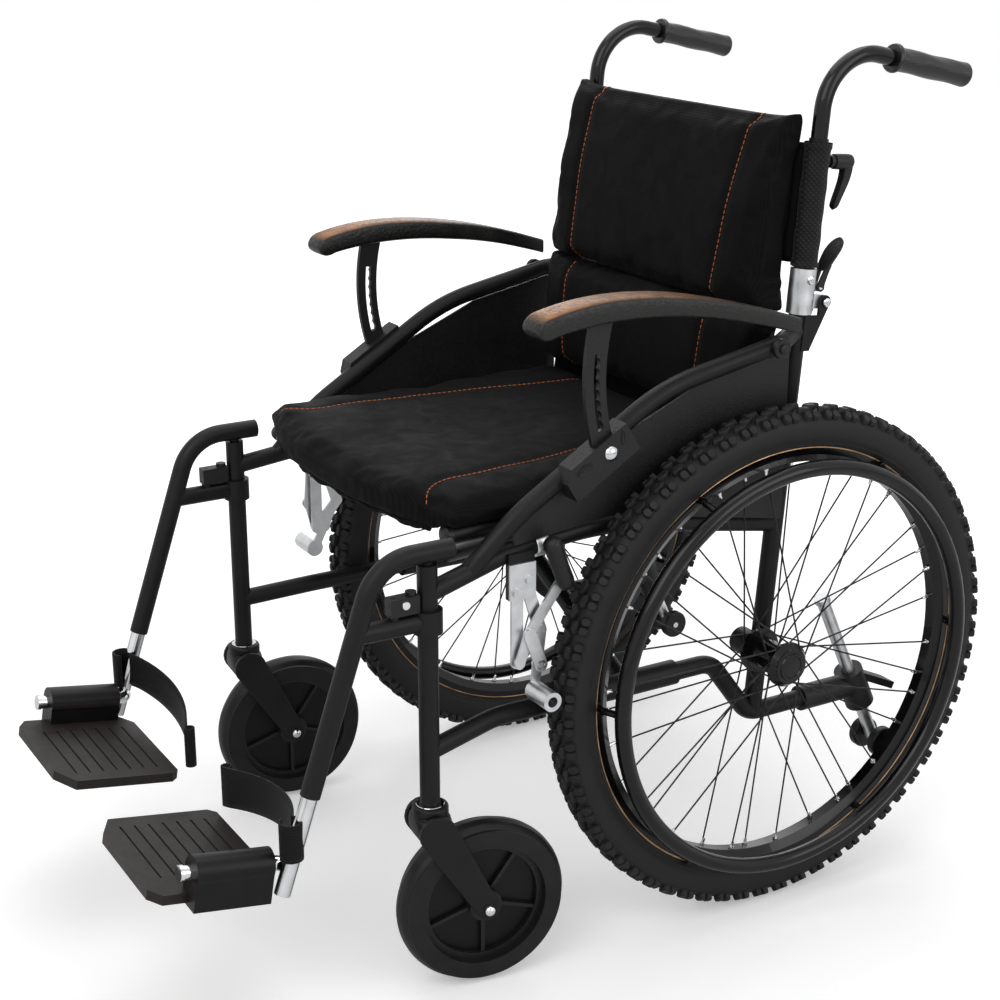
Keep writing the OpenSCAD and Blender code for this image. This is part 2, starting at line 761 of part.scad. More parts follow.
module handrim() {
  standoff_foot = rim_w / 2 + bead;
  standoff_at = rim_r - standoff_r - over / 2;
  color(gloss_black) on_wheel() {
    translate([0, 0, handrim_out]) rotate_extrude() translate([handrim_r, 0]) circle(d = handrim_d);
    for (i = [0:standoffs - 1]) rotate((i + 1 / 2) * 360 / standoffs) {
      translate([standoff_at, 0, standoff_foot]) cylinder(r = standoff_r, h = standoff_h);
      rod([standoff_at, 0, standoff_foot + standoff_h / 2], [handrim_r, 0, handrim_out],
          standoff_r - over / 2);
    }
  }
}

// Legrests

hanger_back = 29;
hanger_bend = 56;
hanger_eye_z = 437;
hanger_eye_h = 26;
hanger_eye_r = 16;
leg_inside = 112;
leg_bore_len = 136;
foot_hinge_out = 238;
foot_hinge_x = foot_hinge_out + spread;
foot_hinge_front = 34;
foot_hinge_reach = 111;
foot_bend = 13;
foot_block_y0 = 10;
foot_block_len = 86;
foot_block_half = 17;
foot_block_up = 18;
foot_block_down = 38;
foot_drop = 23;
foot_chamfer = 34;
foot_groove_w = 2.4;
foot_groove_d = 1.6;
foot_grooves = 7;
foot_groove_inset = 22;
strap_t = 2.4;
strap_z = 226;
strap_sag = 28;
strap_y = -580;
strap_loop_t = 2.6;
latch_y0 = -492;
latch_len = 33.5;
latch_w = 15;
latch_h = 20;
latch_pin_r = 3;
latch_button_r = 6;
latch_button_h = 4;

hanger_corner_y = post_y - hanger_bend_out;
function leg_y(z) = hanger_corner_y - (hanger_z - z) * tan(leg_lean);
function leg_point(z) = [post_x, leg_y(z), z];
leg_down = unit(leg_point(hanger_end_z) - leg_point(hanger_z));

module hanger() {
  color(frame_black) difference() {
    union() {
      tube_run([[post_x, post_y + hanger_back, hanger_z], leg_point(hanger_z), leg_point(hanger_end_z)],
               tube_r,
               [hanger_bend]);
      rod([post_x, post_y, hanger_eye_z], leg_point(hanger_eye_z), tube_r - 2 * seat_fit);
      translate([post_x, post_y, hanger_eye_z - hanger_eye_h / 2])
        cylinder(r = hanger_eye_r, h = hanger_eye_h);
      translate([post_x, post_y, post_top_z - hanger_pin_len + over])
        cylinder(r = hanger_pin_r, h = hanger_z - post_top_z + hanger_pin_len - over);
      translate([post_x, latch_y0 + latch_pin_r * 2, hanger_eye_z])
        cylinder(r = latch_pin_r * 2, h = hanger_eye_h / 2);
      translate([post_x, latch_y0 + latch_pin_r * 2, hanger_eye_z])
        cylinder(r = latch_pin_r, h = hanger_eye_h / 2 + latch_h);
    }
    translate([post_x, post_y, hanger_eye_z - hanger_eye_h])
      cylinder(r = tube_r + run_fit, h = 2 * hanger_eye_h);
    rod(leg_point(hanger_end_z) + leg_down * over, leg_point(hanger_end_z) - leg_down * leg_bore_len,
        leg_r + run_fit);
  }
}

foot_front = [foot_hinge_x, -foot_reach + foot_hinge_front, 0];
foot_leg_z = 193;
foot_hinge_z = foot_leg_z + foot_hinge_reach * tan(foot_tilt);
foot_rear = [foot_hinge_x, foot_front.y + foot_hinge_reach, foot_leg_z];

// The tilted frame of a footplate, with its origin at the front end of the hinge tube
module on_foot() {
  translate([foot_hinge_x, foot_front.y, foot_hinge_z]) rotate([-foot_tilt, 0, 0]) children();
}

module leg_tube() {
  color(chrome) {
    rod(leg_point(leg_end_z), leg_point(hanger_end_z) - leg_down * leg_inside, leg_r);
    tube_run([[foot_hinge_x, foot_front.y, foot_hinge_z], foot_rear, leg_point(foot_leg_z)],
             foot_hinge_d / 2, [foot_bend]);
  }
  color(plastic_black) on_foot() rotate([90, 0, 0]) cylinder(r = foot_hinge_d / 2 + over, h = over * 4);
}

foot_inner = foot_hinge_x - foot_gap / 2;
foot_y0 = ((foot_drop + foot_t) * sin(foot_tilt) - foot_hinge_front) / cos(foot_tilt);
foot_heel_share = 1.6;
foot_shape = [[0, foot_y0 + foot_chamfer / 3], [-foot_chamfer / 2, foot_y0],
              [-foot_inner + foot_chamfer, foot_y0], [-foot_inner, foot_y0 + foot_chamfer / 2],
              [-foot_inner, foot_y0 + foot_len - foot_chamfer / 4],
              [-foot_inner + foot_chamfer / 4, foot_y0 + foot_len],
              [-foot_block_half * foot_heel_share, foot_y0 + foot_len],
              [0, foot_block_y0 + foot_block_len]];

module footplate() {
  groove_len = foot_inner - foot_block_half - 2 * foot_groove_inset;
  groove_pitch = (foot_len - 2 * foot_groove_inset) / (foot_grooves - 1);
  color(foot_brown) on_foot() difference() {
    union() {
      translate([0, 0, -foot_drop - foot_t]) linear_extrude(foot_t) polygon(foot_shape);
      plate_xz(foot_block_y0, foot_block_y0 + foot_block_len) {
        circle(r = foot_block_up);
        translate([-foot_block_half, -foot_block_down]) square([2 * foot_block_half, foot_block_down]);
      }
    }
    translate([0, -foot_len, 0]) rotate([-90, 0, 0])
      cylinder(r = foot_hinge_d / 2 + run_fit, h = foot_len * 2);
    for (i = [0:foot_grooves - 1])
      translate([-foot_inner + foot_groove_inset, foot_y0 + foot_groove_inset + i * groove_pitch,
                 -foot_drop - foot_groove_d])
        cube([groove_len, foot_groove_w, foot_groove_d + over]);
  }
}

module heel_strap() {
  chord = post_x - foot_gap / 2;
  mid_x = foot_gap / 2 + chord / 2;
  r = (chord * chord / 4 + strap_sag * strap_sag) / (2 * strap_sag);
  color(cloth_black) {
    difference() {
      intersection() {
        translate([mid_x, strap_y - r, strap_z - strap_w / 2]) difference() {
          cylinder(r = r, h = strap_w);
          translate([0, 0, -over]) cylinder(r = r - strap_t, h = strap_w + 2 * over);
        }
        translate([foot_gap / 2, strap_y - 2 * strap_sag, 0]) cube([chord, 3 * strap_sag, hanger_end_z]);
      }
      rod(leg_point(leg_end_z), leg_point(hanger_end_z), leg_r + strap_loop_t / 2);
    }
    intersection() {
      difference() {
        rod(leg_point(leg_end_z), leg_point(hanger_end_z), leg_r + strap_loop_t);
        rod(leg_point(leg_end_z) + leg_down * over, leg_point(hanger_end_z) - leg_down * over,
            leg_r + seat_fit);
      }
      translate([0, -foot_reach, strap_z - strap_w / 2]) cube([2 * post_x, foot_reach, strap_w]);
    }
  }
}

module legrest_latch() {
  z0 = hanger_eye_z + hanger_eye_h / 2 + gap;
  color(plastic_black) difference() {
    translate([post_x - latch_w / 2, latch_y0, z0]) cube([latch_w, latch_len, latch_h - 2 * gap]);
    translate([post_x, latch_y0 + latch_pin_r * 2, z0 - over])
      cylinder(r = latch_pin_r + run_fit, h = latch_h * 2);
  }
  color(chrome) translate([post_x, latch_y0 + latch_len - latch_button_r - over, z0 + latch_h - 2 * gap])
    cylinder(r = latch_button_r, h = latch_button_h);
}

// Armrests

arm_x0 = arm_gap / 2 + spread;
arm_rear_y = 16;
arm_rear_z = 690;
arm_rear_t = 18;
arm_nose_z = 735;
arm_crest_z = 781;
arm_belly_z = 748;
arm_chin_z = 716;
arm_brow_z = 747;
arm_steps = 8;
arm_crest_share = 0.6;
arm_belly_share = 0.54;
arm_chin_share = 0.91;
arm_brow_share = 0.955;
arm_tip_share = 1.04;
arm_edge = 7;
arm_slot_w = 5;
arm_slot_low = 12;
arm_slot_high = 3;
strut_high = 14;
arm_cheek_r = 11;

function arm_y(share) = arm_rear_y - arm_len * share;
function curve(a, b, c, t) = a * (1 - t) * (1 - t) + 2 * b * t * (1 - t) + c * t * t;
function curve_points(a, b, c) = [for (i = [0:arm_steps]) curve(a, b, c, i / arm_steps)];
arm_top = curve_points([arm_rear_y, arm_rear_z + arm_rear_t], [arm_y(arm_crest_share), arm_crest_z],
                       [arm_y(arm_brow_share), arm_brow_z]);
arm_nose = curve_points([arm_y(arm_brow_share), arm_brow_z], [arm_y(arm_tip_share), arm_nose_z],
                        [arm_y(arm_chin_share), arm_chin_z]);
arm_under = curve_points([arm_y(arm_chin_share), arm_chin_z], [arm_y(arm_belly_share), arm_belly_z],
                         [arm_rear_y, arm_rear_z]);
function most(points) = [for (i = [0:len(points) - 2]) points[i]];

module armrest() {
  color(plastic_black) {
    difference() {
      intersection() {
        plate_yz(arm_x0, arm_x0 + arm_w) polygon(concat(most(arm_top), most(arm_nose), arm_under));
        linear_extrude(arm_crest_z) polygon([
          [arm_x0, arm_rear_y], [arm_x0 + arm_w - arm_edge, arm_rear_y],
          [arm_x0 + arm_w, arm_rear_y - arm_w], [arm_x0 + arm_w, arm_y(arm_chin_share)],
          [arm_x0 + arm_w - arm_edge, arm_y(arm_brow_share)], [arm_x0 + arm_w / 2, arm_y(1)],
          [arm_x0 + arm_edge, arm_y(arm_brow_share)], [arm_x0, arm_y(arm_chin_share)]]);
      }
      cross_pin(arm_x0 - over, arm_cheek_x + over, arm_pivot_y, arm_pivot_z, arm_notch_r);
    }
    difference() {
      strut_arc(strut_r - strut_w / 2, strut_r + strut_w / 2, strut_x0, strut_x0 + strut_t,
                strut_low, strut_high);
      strut_arc(strut_r - arm_slot_w / 2, strut_r + arm_slot_w / 2, strut_x0 - over,
                strut_x0 + strut_t + over, arm_slot_low, arm_slot_high);
    }
    difference() {
      plate_yz(arm_cheek_x, arm_cheek_x + arm_cheek_t) {
        translate([arm_pivot_y, arm_pivot_z]) circle(r = arm_cheek_r);
        translate([arm_pivot_y - arm_cheek_r, arm_pivot_z])
          square([2 * arm_cheek_r, arm_rear_z + arm_cheek_r - arm_pivot_z]);
      }
      cross_pin(arm_cheek_x - over, arm_cheek_x + arm_cheek_t + over, arm_pivot_y, arm_pivot_z,
                arm_pivot_r + run_fit);
    }
  }
}

// Brakes

brake_foot = [-337, 365];
brake_crank = [-326, 397];
brake_swing = [-308, 398];
brake_tie = [-312, 360];
brake_bar_z = 329;
brake_bar_y = -sqrt(pow(tyre_r + brake_gap + brake_bar_d / 2, 2) - pow(axle_z - brake_bar_z, 2));
brake_bar = [brake_bar_y, brake_bar_z];
brake_knee = [-285, 452];
brake_top = [-303, 500];
brake_t = 3;
brake_w = 15;
brake_narrow = 12;
brake_strip_in = 9;
brake_pin_r = 3.5;
brake_bore_r = 6;
brake_grip_r = 9;
brake_grip_foot = 7;
brake_grip_set = 3;
brake_grip_rise = 4;
brake_tie_slack = 2.4;
brake_bolt_r = 5;
brake_bolt_h = 3;
brake_bolt_z = [446, 458];
brake_bolt_y = [-338, -322];
brake_arm_turn = -20.16;
brake_link_turn = -22.73;
brake_base_x = brake_bracket_x1;
brake_arm_x = brake_base_x + brake_t + gap;
brake_lever_x = brake_arm_x + brake_t + gap;
brake_link_x = brake_lever_x + brake_t + gap;

// Turns a brake piece about a pin that runs across the chair
module about_pin(pin, angle) {
  translate([0, pin.x, pin.y]) rotate([angle, 0, 0]) translate([0, -pin.x, -pin.y]) children();
}

module brake_base() {
  color(satin_silver) {
    plate_yz(brake_base_x, brake_base_x + brake_t) {
      translate([brake_bracket_y0, brake_bracket_z0])
        square([brake_bracket_y1 - brake_bracket_y0, brake_bracket_z1 - brake_bracket_z0 - tube_r]);
      strip([brake_bracket_y0 + brake_strip_in, brake_bracket_z0 + brake_strip_in], brake_foot, brake_w);
      strip([brake_bracket_y1 - brake_strip_in, brake_bracket_z0 + brake_strip_in], brake_swing, brake_w);
      strip(brake_foot, brake_swing, brake_w);
    }
    cross_pin(brake_base_x, brake_arm_x + brake_t - gap, brake_swing.x, brake_swing.y, brake_pin_r);
    cross_pin(brake_base_x, brake_lever_x + brake_t, brake_foot.x, brake_foot.y, brake_pin_r);
    for (i = [0, 1])
      cross_pin(brake_base_x, brake_base_x + brake_t + brake_bolt_h, brake_bolt_y[i], brake_bolt_z[i],
                brake_bolt_r);
  }
}

// Released is 0 for a locked brake and 1 for a released one
module brake_arm(released) {
  color(satin_silver) about_pin(brake_swing, brake_arm_turn * released) difference() {
    union() {
      plate_yz(brake_arm_x, brake_arm_x + brake_t) {
        strip(brake_swing, brake_bar, brake_narrow);
        translate(brake_bar) circle(d = brake_bar_d);
        translate(brake_tie) circle(d = brake_w);
      }
      cross_pin(brake_arm_x, brake_arm_x + brake_bar_len, brake_bar.x, brake_bar.y, brake_bar_d / 2);
      cross_pin(brake_arm_x, brake_link_x + brake_t, brake_tie.x, brake_tie.y, brake_pin_r);
    }
    cross_pin(brake_arm_x - over, brake_arm_x + brake_t + over, brake_swing.x, brake_swing.y,
              brake_pin_r + run_fit);
    cross_pin(brake_arm_x + brake_t, brake_arm_x + brake_bar_len + over, brake_bar.x, brake_bar.y,
              brake_bore_r);
  }
}

module brake_lever(released) {
  grip_x = brake_lever_x + brake_t + brake_grip_r - over;
  about_pin(brake_foot, brake_release * released) {
    color(satin_silver) difference() {
      union() {
        plate_yz(brake_lever_x, brake_lever_x + brake_t) {
          strip(brake_foot, brake_crank, brake_narrow);
          strip(brake_crank, brake_knee, brake_narrow + over);
        }
        cross_pin(brake_lever_x, brake_link_x + brake_t, brake_crank.x, brake_crank.y, brake_pin_r);
      }
      cross_pin(brake_lever_x - over, brake_lever_x + brake_t + over, brake_foot.x, brake_foot.y,
                brake_pin_r + run_fit);
    }
    color(plastic_black) {
      rod([grip_x, brake_knee.x, brake_knee.y], [grip_x, brake_top.x, brake_top.y], brake_grip_r);
      translate([brake_lever_x + over, brake_knee.x - brake_grip_set, brake_knee.y + brake_grip_rise])
        cube([brake_grip_r, brake_grip_foot, brake_grip_foot]);
    }
  }
}

module brake_link(released) {
  color(satin_silver) about_pin(brake_foot, brake_release * released)
    about_pin(brake_crank, brake_link_turn * released) difference() {
      plate_yz(brake_link_x, brake_link_x + brake_t) strip(brake_crank, brake_tie, brake_w);
      cross_pin(brake_link_x - over, brake_link_x + brake_t + over, brake_crank.x, brake_crank.y,
                brake_pin_r + run_fit);
      cross_pin(brake_link_x - over, brake_link_x + brake_t + over, brake_tie.x, brake_tie.y,
                brake_pin_r + brake_tie_slack);
    }
}

// Back canes, hinges and push handles

hinge_block_r = 15;
hinge_block_h = 52;
hinge_block_ear = 8;
cane_len = 196;
cane_bore_z = 40;
paddle_y = 22;
paddle_z = 30;
paddle_pin_r = 2.5;
paddle_ear_half = 4;
paddle_cheek_t = 4;
paddle_tip = [52, 84];
paddle_t = 6;
paddle_w = 22;
paddle_root_share = 1.6;
paddle_oval_share = 1.15;
clamp_z = 171;
clamp_stud_r = 4;
clamp_y0 = 17;
clamp_y1 = 50;
clamp_hub_r = 8;
clamp_tip = [31, 119];
clamp_arm_w = 13;
clamp_arm_t = 9;
handle_low_z = 62;
handle_bend = 63;
grip_collar_share = 1.04;
grip_waist_share = 0.94;
grip_tip_share = 0.9;

module back_cane() {
  color(frame_black) on_back(back_x) difference() {
    union() {
      translate([0, 0, gap]) cylinder(r = tube_r, h = cane_len - gap);
      translate([0, 0, clamp_z]) rotate([-90, 0, 0]) cylinder(r = clamp_stud_r, h = clamp_y1 - over);
    }
    translate([0, 0, cane_bore_z]) cylinder(r = handle_r + run_fit, h = cane_len);
  }
}

module back_hinge() {
  color(satin_silver) on_back(back_x) difference() {
    union() {
      translate([0, 0, gap]) cylinder(r = hinge_block_r, h = hinge_block_h - gap);
      plate_yz(-hinge_block_ear, hinge_block_ear) {
        translate([hinge_pin_y, hinge_pin_z]) circle(r = hinge_ear_r);
        translate([0, hinge_pin_z - hinge_ear_r]) square([hinge_pin_y, 2 * hinge_ear_r]);
      }
      plate_yz(-paddle_ear_half, paddle_ear_half)
        translate([0, paddle_z - paddle_pin_r * 2]) square([paddle_y + paddle_pin_r * 2, paddle_pin_r * 4]);
      cross_pin(-paddle_ear_half - paddle_cheek_t, paddle_ear_half + paddle_cheek_t, paddle_y, paddle_z,
                paddle_pin_r);
    }
    translate([0, 0, -over]) cylinder(r = tube_r + seat_fit, h = hinge_block_h + 2 * over);
    cross_pin(-hinge_block_r, hinge_block_r, hinge_pin_y, hinge_pin_z, hinge_pin_r + run_fit);
  }
}

module release_paddle() {
  color(plastic_black) on_back(back_x) difference() {
    union() {
      for (x0 = [paddle_ear_half + gap, -paddle_ear_half - gap - paddle_cheek_t])
        plate_yz(x0, x0 + paddle_cheek_t)
          strip([paddle_y, paddle_z], mix([paddle_y, paddle_z], paddle_tip, 1 / 2),
                paddle_t * paddle_root_share);
      intersection() {
        plate_yz(-paddle_w / 2, paddle_w / 2)
          strip(mix([paddle_y, paddle_z], paddle_tip, 1 / 3), paddle_tip, paddle_t);
        translate([0, 0, mix(paddle_z, paddle_tip.y, 2 / 3)]) rotate([90, 0, 0])
          cylinder(r = paddle_w * paddle_oval_share, h = paddle_w * 8, center = true);
      }
    }
    cross_pin(-paddle_w, paddle_w, paddle_y, paddle_z, paddle_pin_r + run_fit);
  }
}

handle_end = [0, handle_len * cos(handle_drop), handle_h - handle_len * sin(handle_drop)];
handle_corner = [0, 0, handle_h];
handle_dir = unit(handle_end - handle_corner);

module push_handle() {
  color(gloss_black) on_back(back_x)
    tube_run([[0, 0, handle_low_z], handle_corner, handle_end - handle_dir * over * 2], handle_r,
             [handle_bend]);
}

module grip() {
  r = grip_d / 2;
  waist = r * grip_waist_share;
  color(rubber_black) on_back(back_x) along(handle_end - handle_dir * grip_len, handle_end)
    rotate_extrude() difference() {
      polygon([[0, 0], [r, 0], [r * grip_collar_share, r / 2], [waist, r], [waist, grip_len - r],
               [r, grip_len - r / 3], [r * grip_tip_share, grip_len], [0, grip_len]]);
      translate([-over, -over]) square([handle_r + seat_fit + over, grip_len - over]);
    }
}

module clamp_lever() {
  color(plastic_black) on_back(back_x) difference() {
    union() {
      translate([0, clamp_y0, clamp_z]) rotate([-90, 0, 0])
        cylinder(r = clamp_hub_r, h = clamp_y1 - clamp_y0);
      plate_yz(-clamp_arm_w / 2, clamp_arm_w / 2)
        strip([clamp_y1 - clamp_arm_t, clamp_z], clamp_tip, clamp_arm_t);
    }
    translate([0, 0, clamp_z]) rotate([-90, 0, 0])
      cylinder(r = clamp_stud_r + run_fit, h = clamp_y1 - over + gap);
  }
}

// Cross brace and seat

brace_sleeve_y0 = -225;
brace_sleeve_len = 110;
brace_sleeve_t = 3.5;
brace_arm_y = [-183, -157];
brace_bolt_r = 4;
brace_boss_r = 12;
brace_nut_r = 8;
brace_nut_t = 6;
seat_rail_front_y = -401;
brace_slope = (seat_rail_z - lower_rail_z) / (rail_x + seat_rail_x);
brace_mid_z = lower_rail_z + rail_x * brace_slope;
brace_mid_y = (brace_arm_y[0] + brace_arm_y[1]) / 2;

// One arm with its pivot sleeve on the left lower rail and the right seat rail on its top
module brace_arm(y, bolt_fit) {
  to_middle = sign(brace_mid_y - y);
  color(frame_black) difference() {
    union() {
      rod([rail_x, y, lower_rail_z], [-seat_rail_x, y, seat_rail_z], brace_r);
      translate([rail_x, brace_sleeve_y0, lower_rail_z]) rotate([-90, 0, 0])
        cylinder(r = tube_r + brace_sleeve_t, h = brace_sleeve_len);
      translate([-seat_rail_x, seat_rail_front_y, seat_rail_z]) rotate([-90, 0, 0])
        cylinder(r = tube_r, h = seat_rail_len);
      translate([0, y, brace_mid_z]) rotate([-90 * to_middle, 0, 0])
        cylinder(r = brace_boss_r, h = abs(brace_mid_y - y) - gap / 2);
    }
    translate([rail_x, brace_sleeve_y0 - over, lower_rail_z]) rotate([-90, 0, 0])
      cylinder(r = rail_r + run_fit, h = brace_sleeve_len + 2 * over);
    translate([0, y - 2 * brace_boss_r, brace_mid_z]) rotate([-90, 0, 0])
      cylinder(r = brace_bolt_r + bolt_fit, h = 4 * brace_boss_r);
  }
}

module brace_a() {
  on_left() brace_arm(brace_arm_y[0], run_fit / 2);
}

module brace_b() {
  on_right() brace_arm(brace_arm_y[1], run_fit);
}

module brace_bolt() {
  y0 = brace_arm_y[0] - brace_r - gap;
  y1 = brace_arm_y[1] + brace_r + gap;
  color(chrome) on_left() translate([0, 0, brace_mid_z]) {
    translate([0, y0 - brace_nut_t, 0]) rotate([-90, 0, 0])
      cylinder(r = brace_bolt_r, h = y1 - y0 + 2 * brace_nut_t);
    for (y = [y0 - brace_nut_t, y1])
      translate([0, y, 0]) rotate([-90, 0, 0]) cylinder(r = brace_nut_r, h = brace_nut_t, $fn = 6);
  }
}

// Cushions: a crowned side section, a crowned front section and a plan with drawn-in sides

seat_front_y = -447;
seat_corner_back = 48;
seat_lip = 16;
seat_lip_len = 42;
seat_draw = 7;
seat_edge_t = 18;
cushion_steps = 10;
seat_rise_share = 0.9;
back_draw = 6;
back_edge_t = 16;
back_stand = 15.5;
back_rake = 36;
back_span = back_upper_h + back_lower_h;

seat_z0 = seat_rail_z + tube_r + gap;

// Points across a width, raised in the middle by a smooth crown
function crown(w, edge, top, base) =
  [for (i = [0:cushion_steps]) let (s = 2 * i / cushion_steps - 1)
    [w / 2 * s, base + edge + (top - edge) * (1 - pow(abs(s), 3))]];

// A plan whose long sides curve in between the corners
function drawn_plan(w, y0, y1, bow, draw) = concat(
  [for (i = [0:cushion_steps]) let (s = 2 * i / cushion_steps - 1) [w / 2 * s, y0 + bow * s * s]],
  [for (i = [1:cushion_steps - 1]) let (s = 2 * i / cushion_steps - 1)
    [w / 2 - draw * (1 - s * s), mix(y0 + bow, y1, i / cushion_steps)]],
  [[w / 2, y1], [-w / 2, y1]],
  [for (i = [cushion_steps - 1:-1:1]) let (s = 2 * i / cushion_steps - 1)
    [-w / 2 + draw * (1 - s * s), mix(y0 + bow, y1, i / cushion_steps)]]);

module seat_cushion() {
  y0 = seat_front_y;
  y1 = seat_front_y + seat_depth;
  color(cloth_black) on_left() intersection() {
    plate_xz(y0 - over, y1 + over)
      polygon(concat([[seat_w / 2, seat_z0 - seat_lip], [-seat_w / 2, seat_z0 - seat_lip]],
                     crown(seat_w, seat_edge_t, seat_t, seat_z0)));
    plate_yz(-seat_w, seat_w) polygon(concat(
      [[y1, seat_z0], [y0 + seat_lip_len, seat_z0], [y0 + seat_lip_len, seat_z0 - seat_lip],
       [y0, seat_z0 - seat_lip / 2]],
      [for (i = [1:cushion_steps]) let (s = i / cushion_steps)
        [mix(y0, y1, s * s),
         seat_z0 + seat_edge_t + (seat_t - seat_edge_t) * sqrt(1 - pow(1 - s, 2) * seat_rise_share)]]));
    translate([0, 0, seat_z0 - seat_lip * 2]) linear_extrude(seat_t * 3)
      polygon(drawn_plan(seat_w, y0, y1, seat_corner_back, seat_draw));
  }
}

// Depth of the back at a height, fuller towards the seat
function back_depth(z) = let (s = (2 * z + back_lower_h - back_upper_h) / back_span)
  back_edge_t + (back_t - back_edge_t) * (1 - pow(abs(s), 3)) + back_rake * (1 - s) / 2;

// A back pad between two heights, in the leaning frame of the back
module back_pad(z0, z1) {
  h = z1 - z0;
  edge = back_edge_t + back_rake / 2;
  color(cloth_black) on_left() on_back(0) intersection() {
    translate([0, 0, z0 - over]) linear_extrude(h + 2 * over) mirror([0, 1])
      polygon(concat([[back_w / 2, back_stand], [-back_w / 2, back_stand]],
                     crown(back_w, edge, back_t + back_rake, back_stand)));
    plate_yz(-back_w, back_w) mirror([1, 0]) polygon(concat([[back_stand, z1], [back_stand, z0]],
      [for (i = [0:cushion_steps]) let (z = mix(z0, z1, i / cushion_steps))
        [back_stand + back_depth(z), z]]));
    plate_xz(-back_w, back_w) polygon(drawn_plan(back_w, z0, z1, 0, back_draw));
  }
}

module back_upper() {
  back_pad(gap, back_upper_h);
}

module back_lower() {
  back_pad(-back_lower_h, -gap);
}

on_left() side_frame();  // left_side_frame
on_left() side_panel();  // left_side_panel
on_left() antitip_sleeve();  // left_antitip_sleeve
on_left() castor_fork(castor_turn_left);  // left_castor_fork
on_left() castor_wheel(castor_turn_left);  // left_castor_wheel
on_left() tyre();  // left_tyre
on_left() rim();  // left_rim
on_left() hub();  // left_hub
on_left() handrim();  // left_handrim
on_left() hanger();  // left_hanger
on_left() leg_tube();  // left_leg_tube
on_left() footplate();  // left_footplate
on_left() heel_strap();  // left_heel_strap
on_left() legrest_latch();  // left_legrest_latch
on_left() armrest();  // left_armrest
on_left() brake_base();  // left_brake_base
on_left() brake_lever(0);  // left_brake_lever
on_left() brake_arm(0);  // left_brake_arm
on_left() brake_link(0);  // left_brake_link
on_left() back_cane();  // left_back_cane
on_left() back_hinge();  // left_back_hinge
on_left() release_paddle();  // left_release_paddle
on_left() push_handle();  // left_push_handle
on_left() grip();  // left_grip
on_left() clamp_lever();  // left_clamp_lever
on_left() antitip_leg();  // left_antitip_leg
on_left() antitip_wheels();  // left_antitip_wheels
on_right() side_frame();  // right_side_frame
on_right() side_panel();  // right_side_panel
on_right() antitip_sleeve();  // right_antitip_sleeve
on_right() castor_fork(castor_turn_right);  // right_castor_fork
on_right() castor_wheel(castor_turn_right);  // right_castor_wheel
on_right() tyre();  // right_tyre
on_right() rim();  // right_rim
on_right() hub();  // right_hub
on_right() handrim();  // right_handrim
on_right() hanger();  // right_hanger
on_right() leg_tube();  // right_leg_tube
on_right() footplate();  // right_footplate
on_right() heel_strap();  // right_heel_strap
on_right() legrest_latch();  // right_legrest_latch
on_right() armrest();  // right_armrest
on_right() brake_base();  // right_brake_base
on_right() brake_lever(1);  // right_brake_lever
on_right() brake_arm(1);  // right_brake_arm
on_right() brake_link(1);  // right_brake_link
on_right() back_cane();  // right_back_cane
on_right() back_hinge();  // right_back_hinge
on_right() release_paddle();  // right_release_paddle
on_right() push_handle();  // right_push_handle
on_right() grip();  // right_grip
on_right() clamp_lever();  // right_clamp_lever
on_right() antitip_leg();  // right_antitip_leg
on_right() antitip_wheels();  // right_antitip_wheels
brace_a();
brace_b();
brace_bolt();
seat_cushion();
back_upper();
back_lower();
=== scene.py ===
"""Dresses the all terrain wheelchair: finishes, soft goods and small parts over the solid model's frame."""

import math

import bmesh
import bpy
import numpy as np
from bpy.props import FloatProperty, FloatVectorProperty, IntProperty, PointerProperty
from mathutils import Matrix, Vector
from mathutils.bvhtree import BVHTree


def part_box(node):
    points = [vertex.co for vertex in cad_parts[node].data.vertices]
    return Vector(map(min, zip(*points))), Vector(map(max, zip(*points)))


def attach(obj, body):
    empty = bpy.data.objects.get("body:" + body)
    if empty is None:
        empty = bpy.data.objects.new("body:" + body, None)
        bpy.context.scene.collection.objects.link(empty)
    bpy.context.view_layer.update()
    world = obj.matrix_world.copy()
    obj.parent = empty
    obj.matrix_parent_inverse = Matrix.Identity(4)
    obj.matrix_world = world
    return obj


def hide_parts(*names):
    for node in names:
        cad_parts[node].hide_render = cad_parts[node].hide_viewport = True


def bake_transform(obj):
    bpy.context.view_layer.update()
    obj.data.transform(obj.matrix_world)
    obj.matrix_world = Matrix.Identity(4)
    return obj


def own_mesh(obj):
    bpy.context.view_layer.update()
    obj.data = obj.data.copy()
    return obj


bl_info = {
    "name": "All terrain wheelchair dress",
    "version": (1, 0, 0),
    "blender": (4, 5, 0),
    "location": "3D View > Sidebar > Wheelchair",
    "description": "Finishes, cushions, treads and fittings for the wheelchair model",
    "category": "Object",
}

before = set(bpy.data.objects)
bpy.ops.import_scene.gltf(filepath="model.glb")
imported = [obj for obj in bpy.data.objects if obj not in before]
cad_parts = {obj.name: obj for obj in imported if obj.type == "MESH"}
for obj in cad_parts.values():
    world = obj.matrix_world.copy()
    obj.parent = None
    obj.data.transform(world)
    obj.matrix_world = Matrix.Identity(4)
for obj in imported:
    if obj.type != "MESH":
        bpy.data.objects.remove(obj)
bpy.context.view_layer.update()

# Places of the chair in millimetres, y from the rear axle
MM = 0.001
AXLE_Y = 226.0
SIDES = (("left", 1.0), ("right", -1.0))
WHEEL_X = 278.0
WHEEL_R = 305.0
CANE_X = 226.0
BACK_LEAN = math.radians(4.8)
BACK_FOOT = (51.894, 700.0)

X_AXIS, Y_AXIS, Z_AXIS = (Vector(row) for row in ((1, 0, 0), (0, 1, 0), (0, 0, 1)))


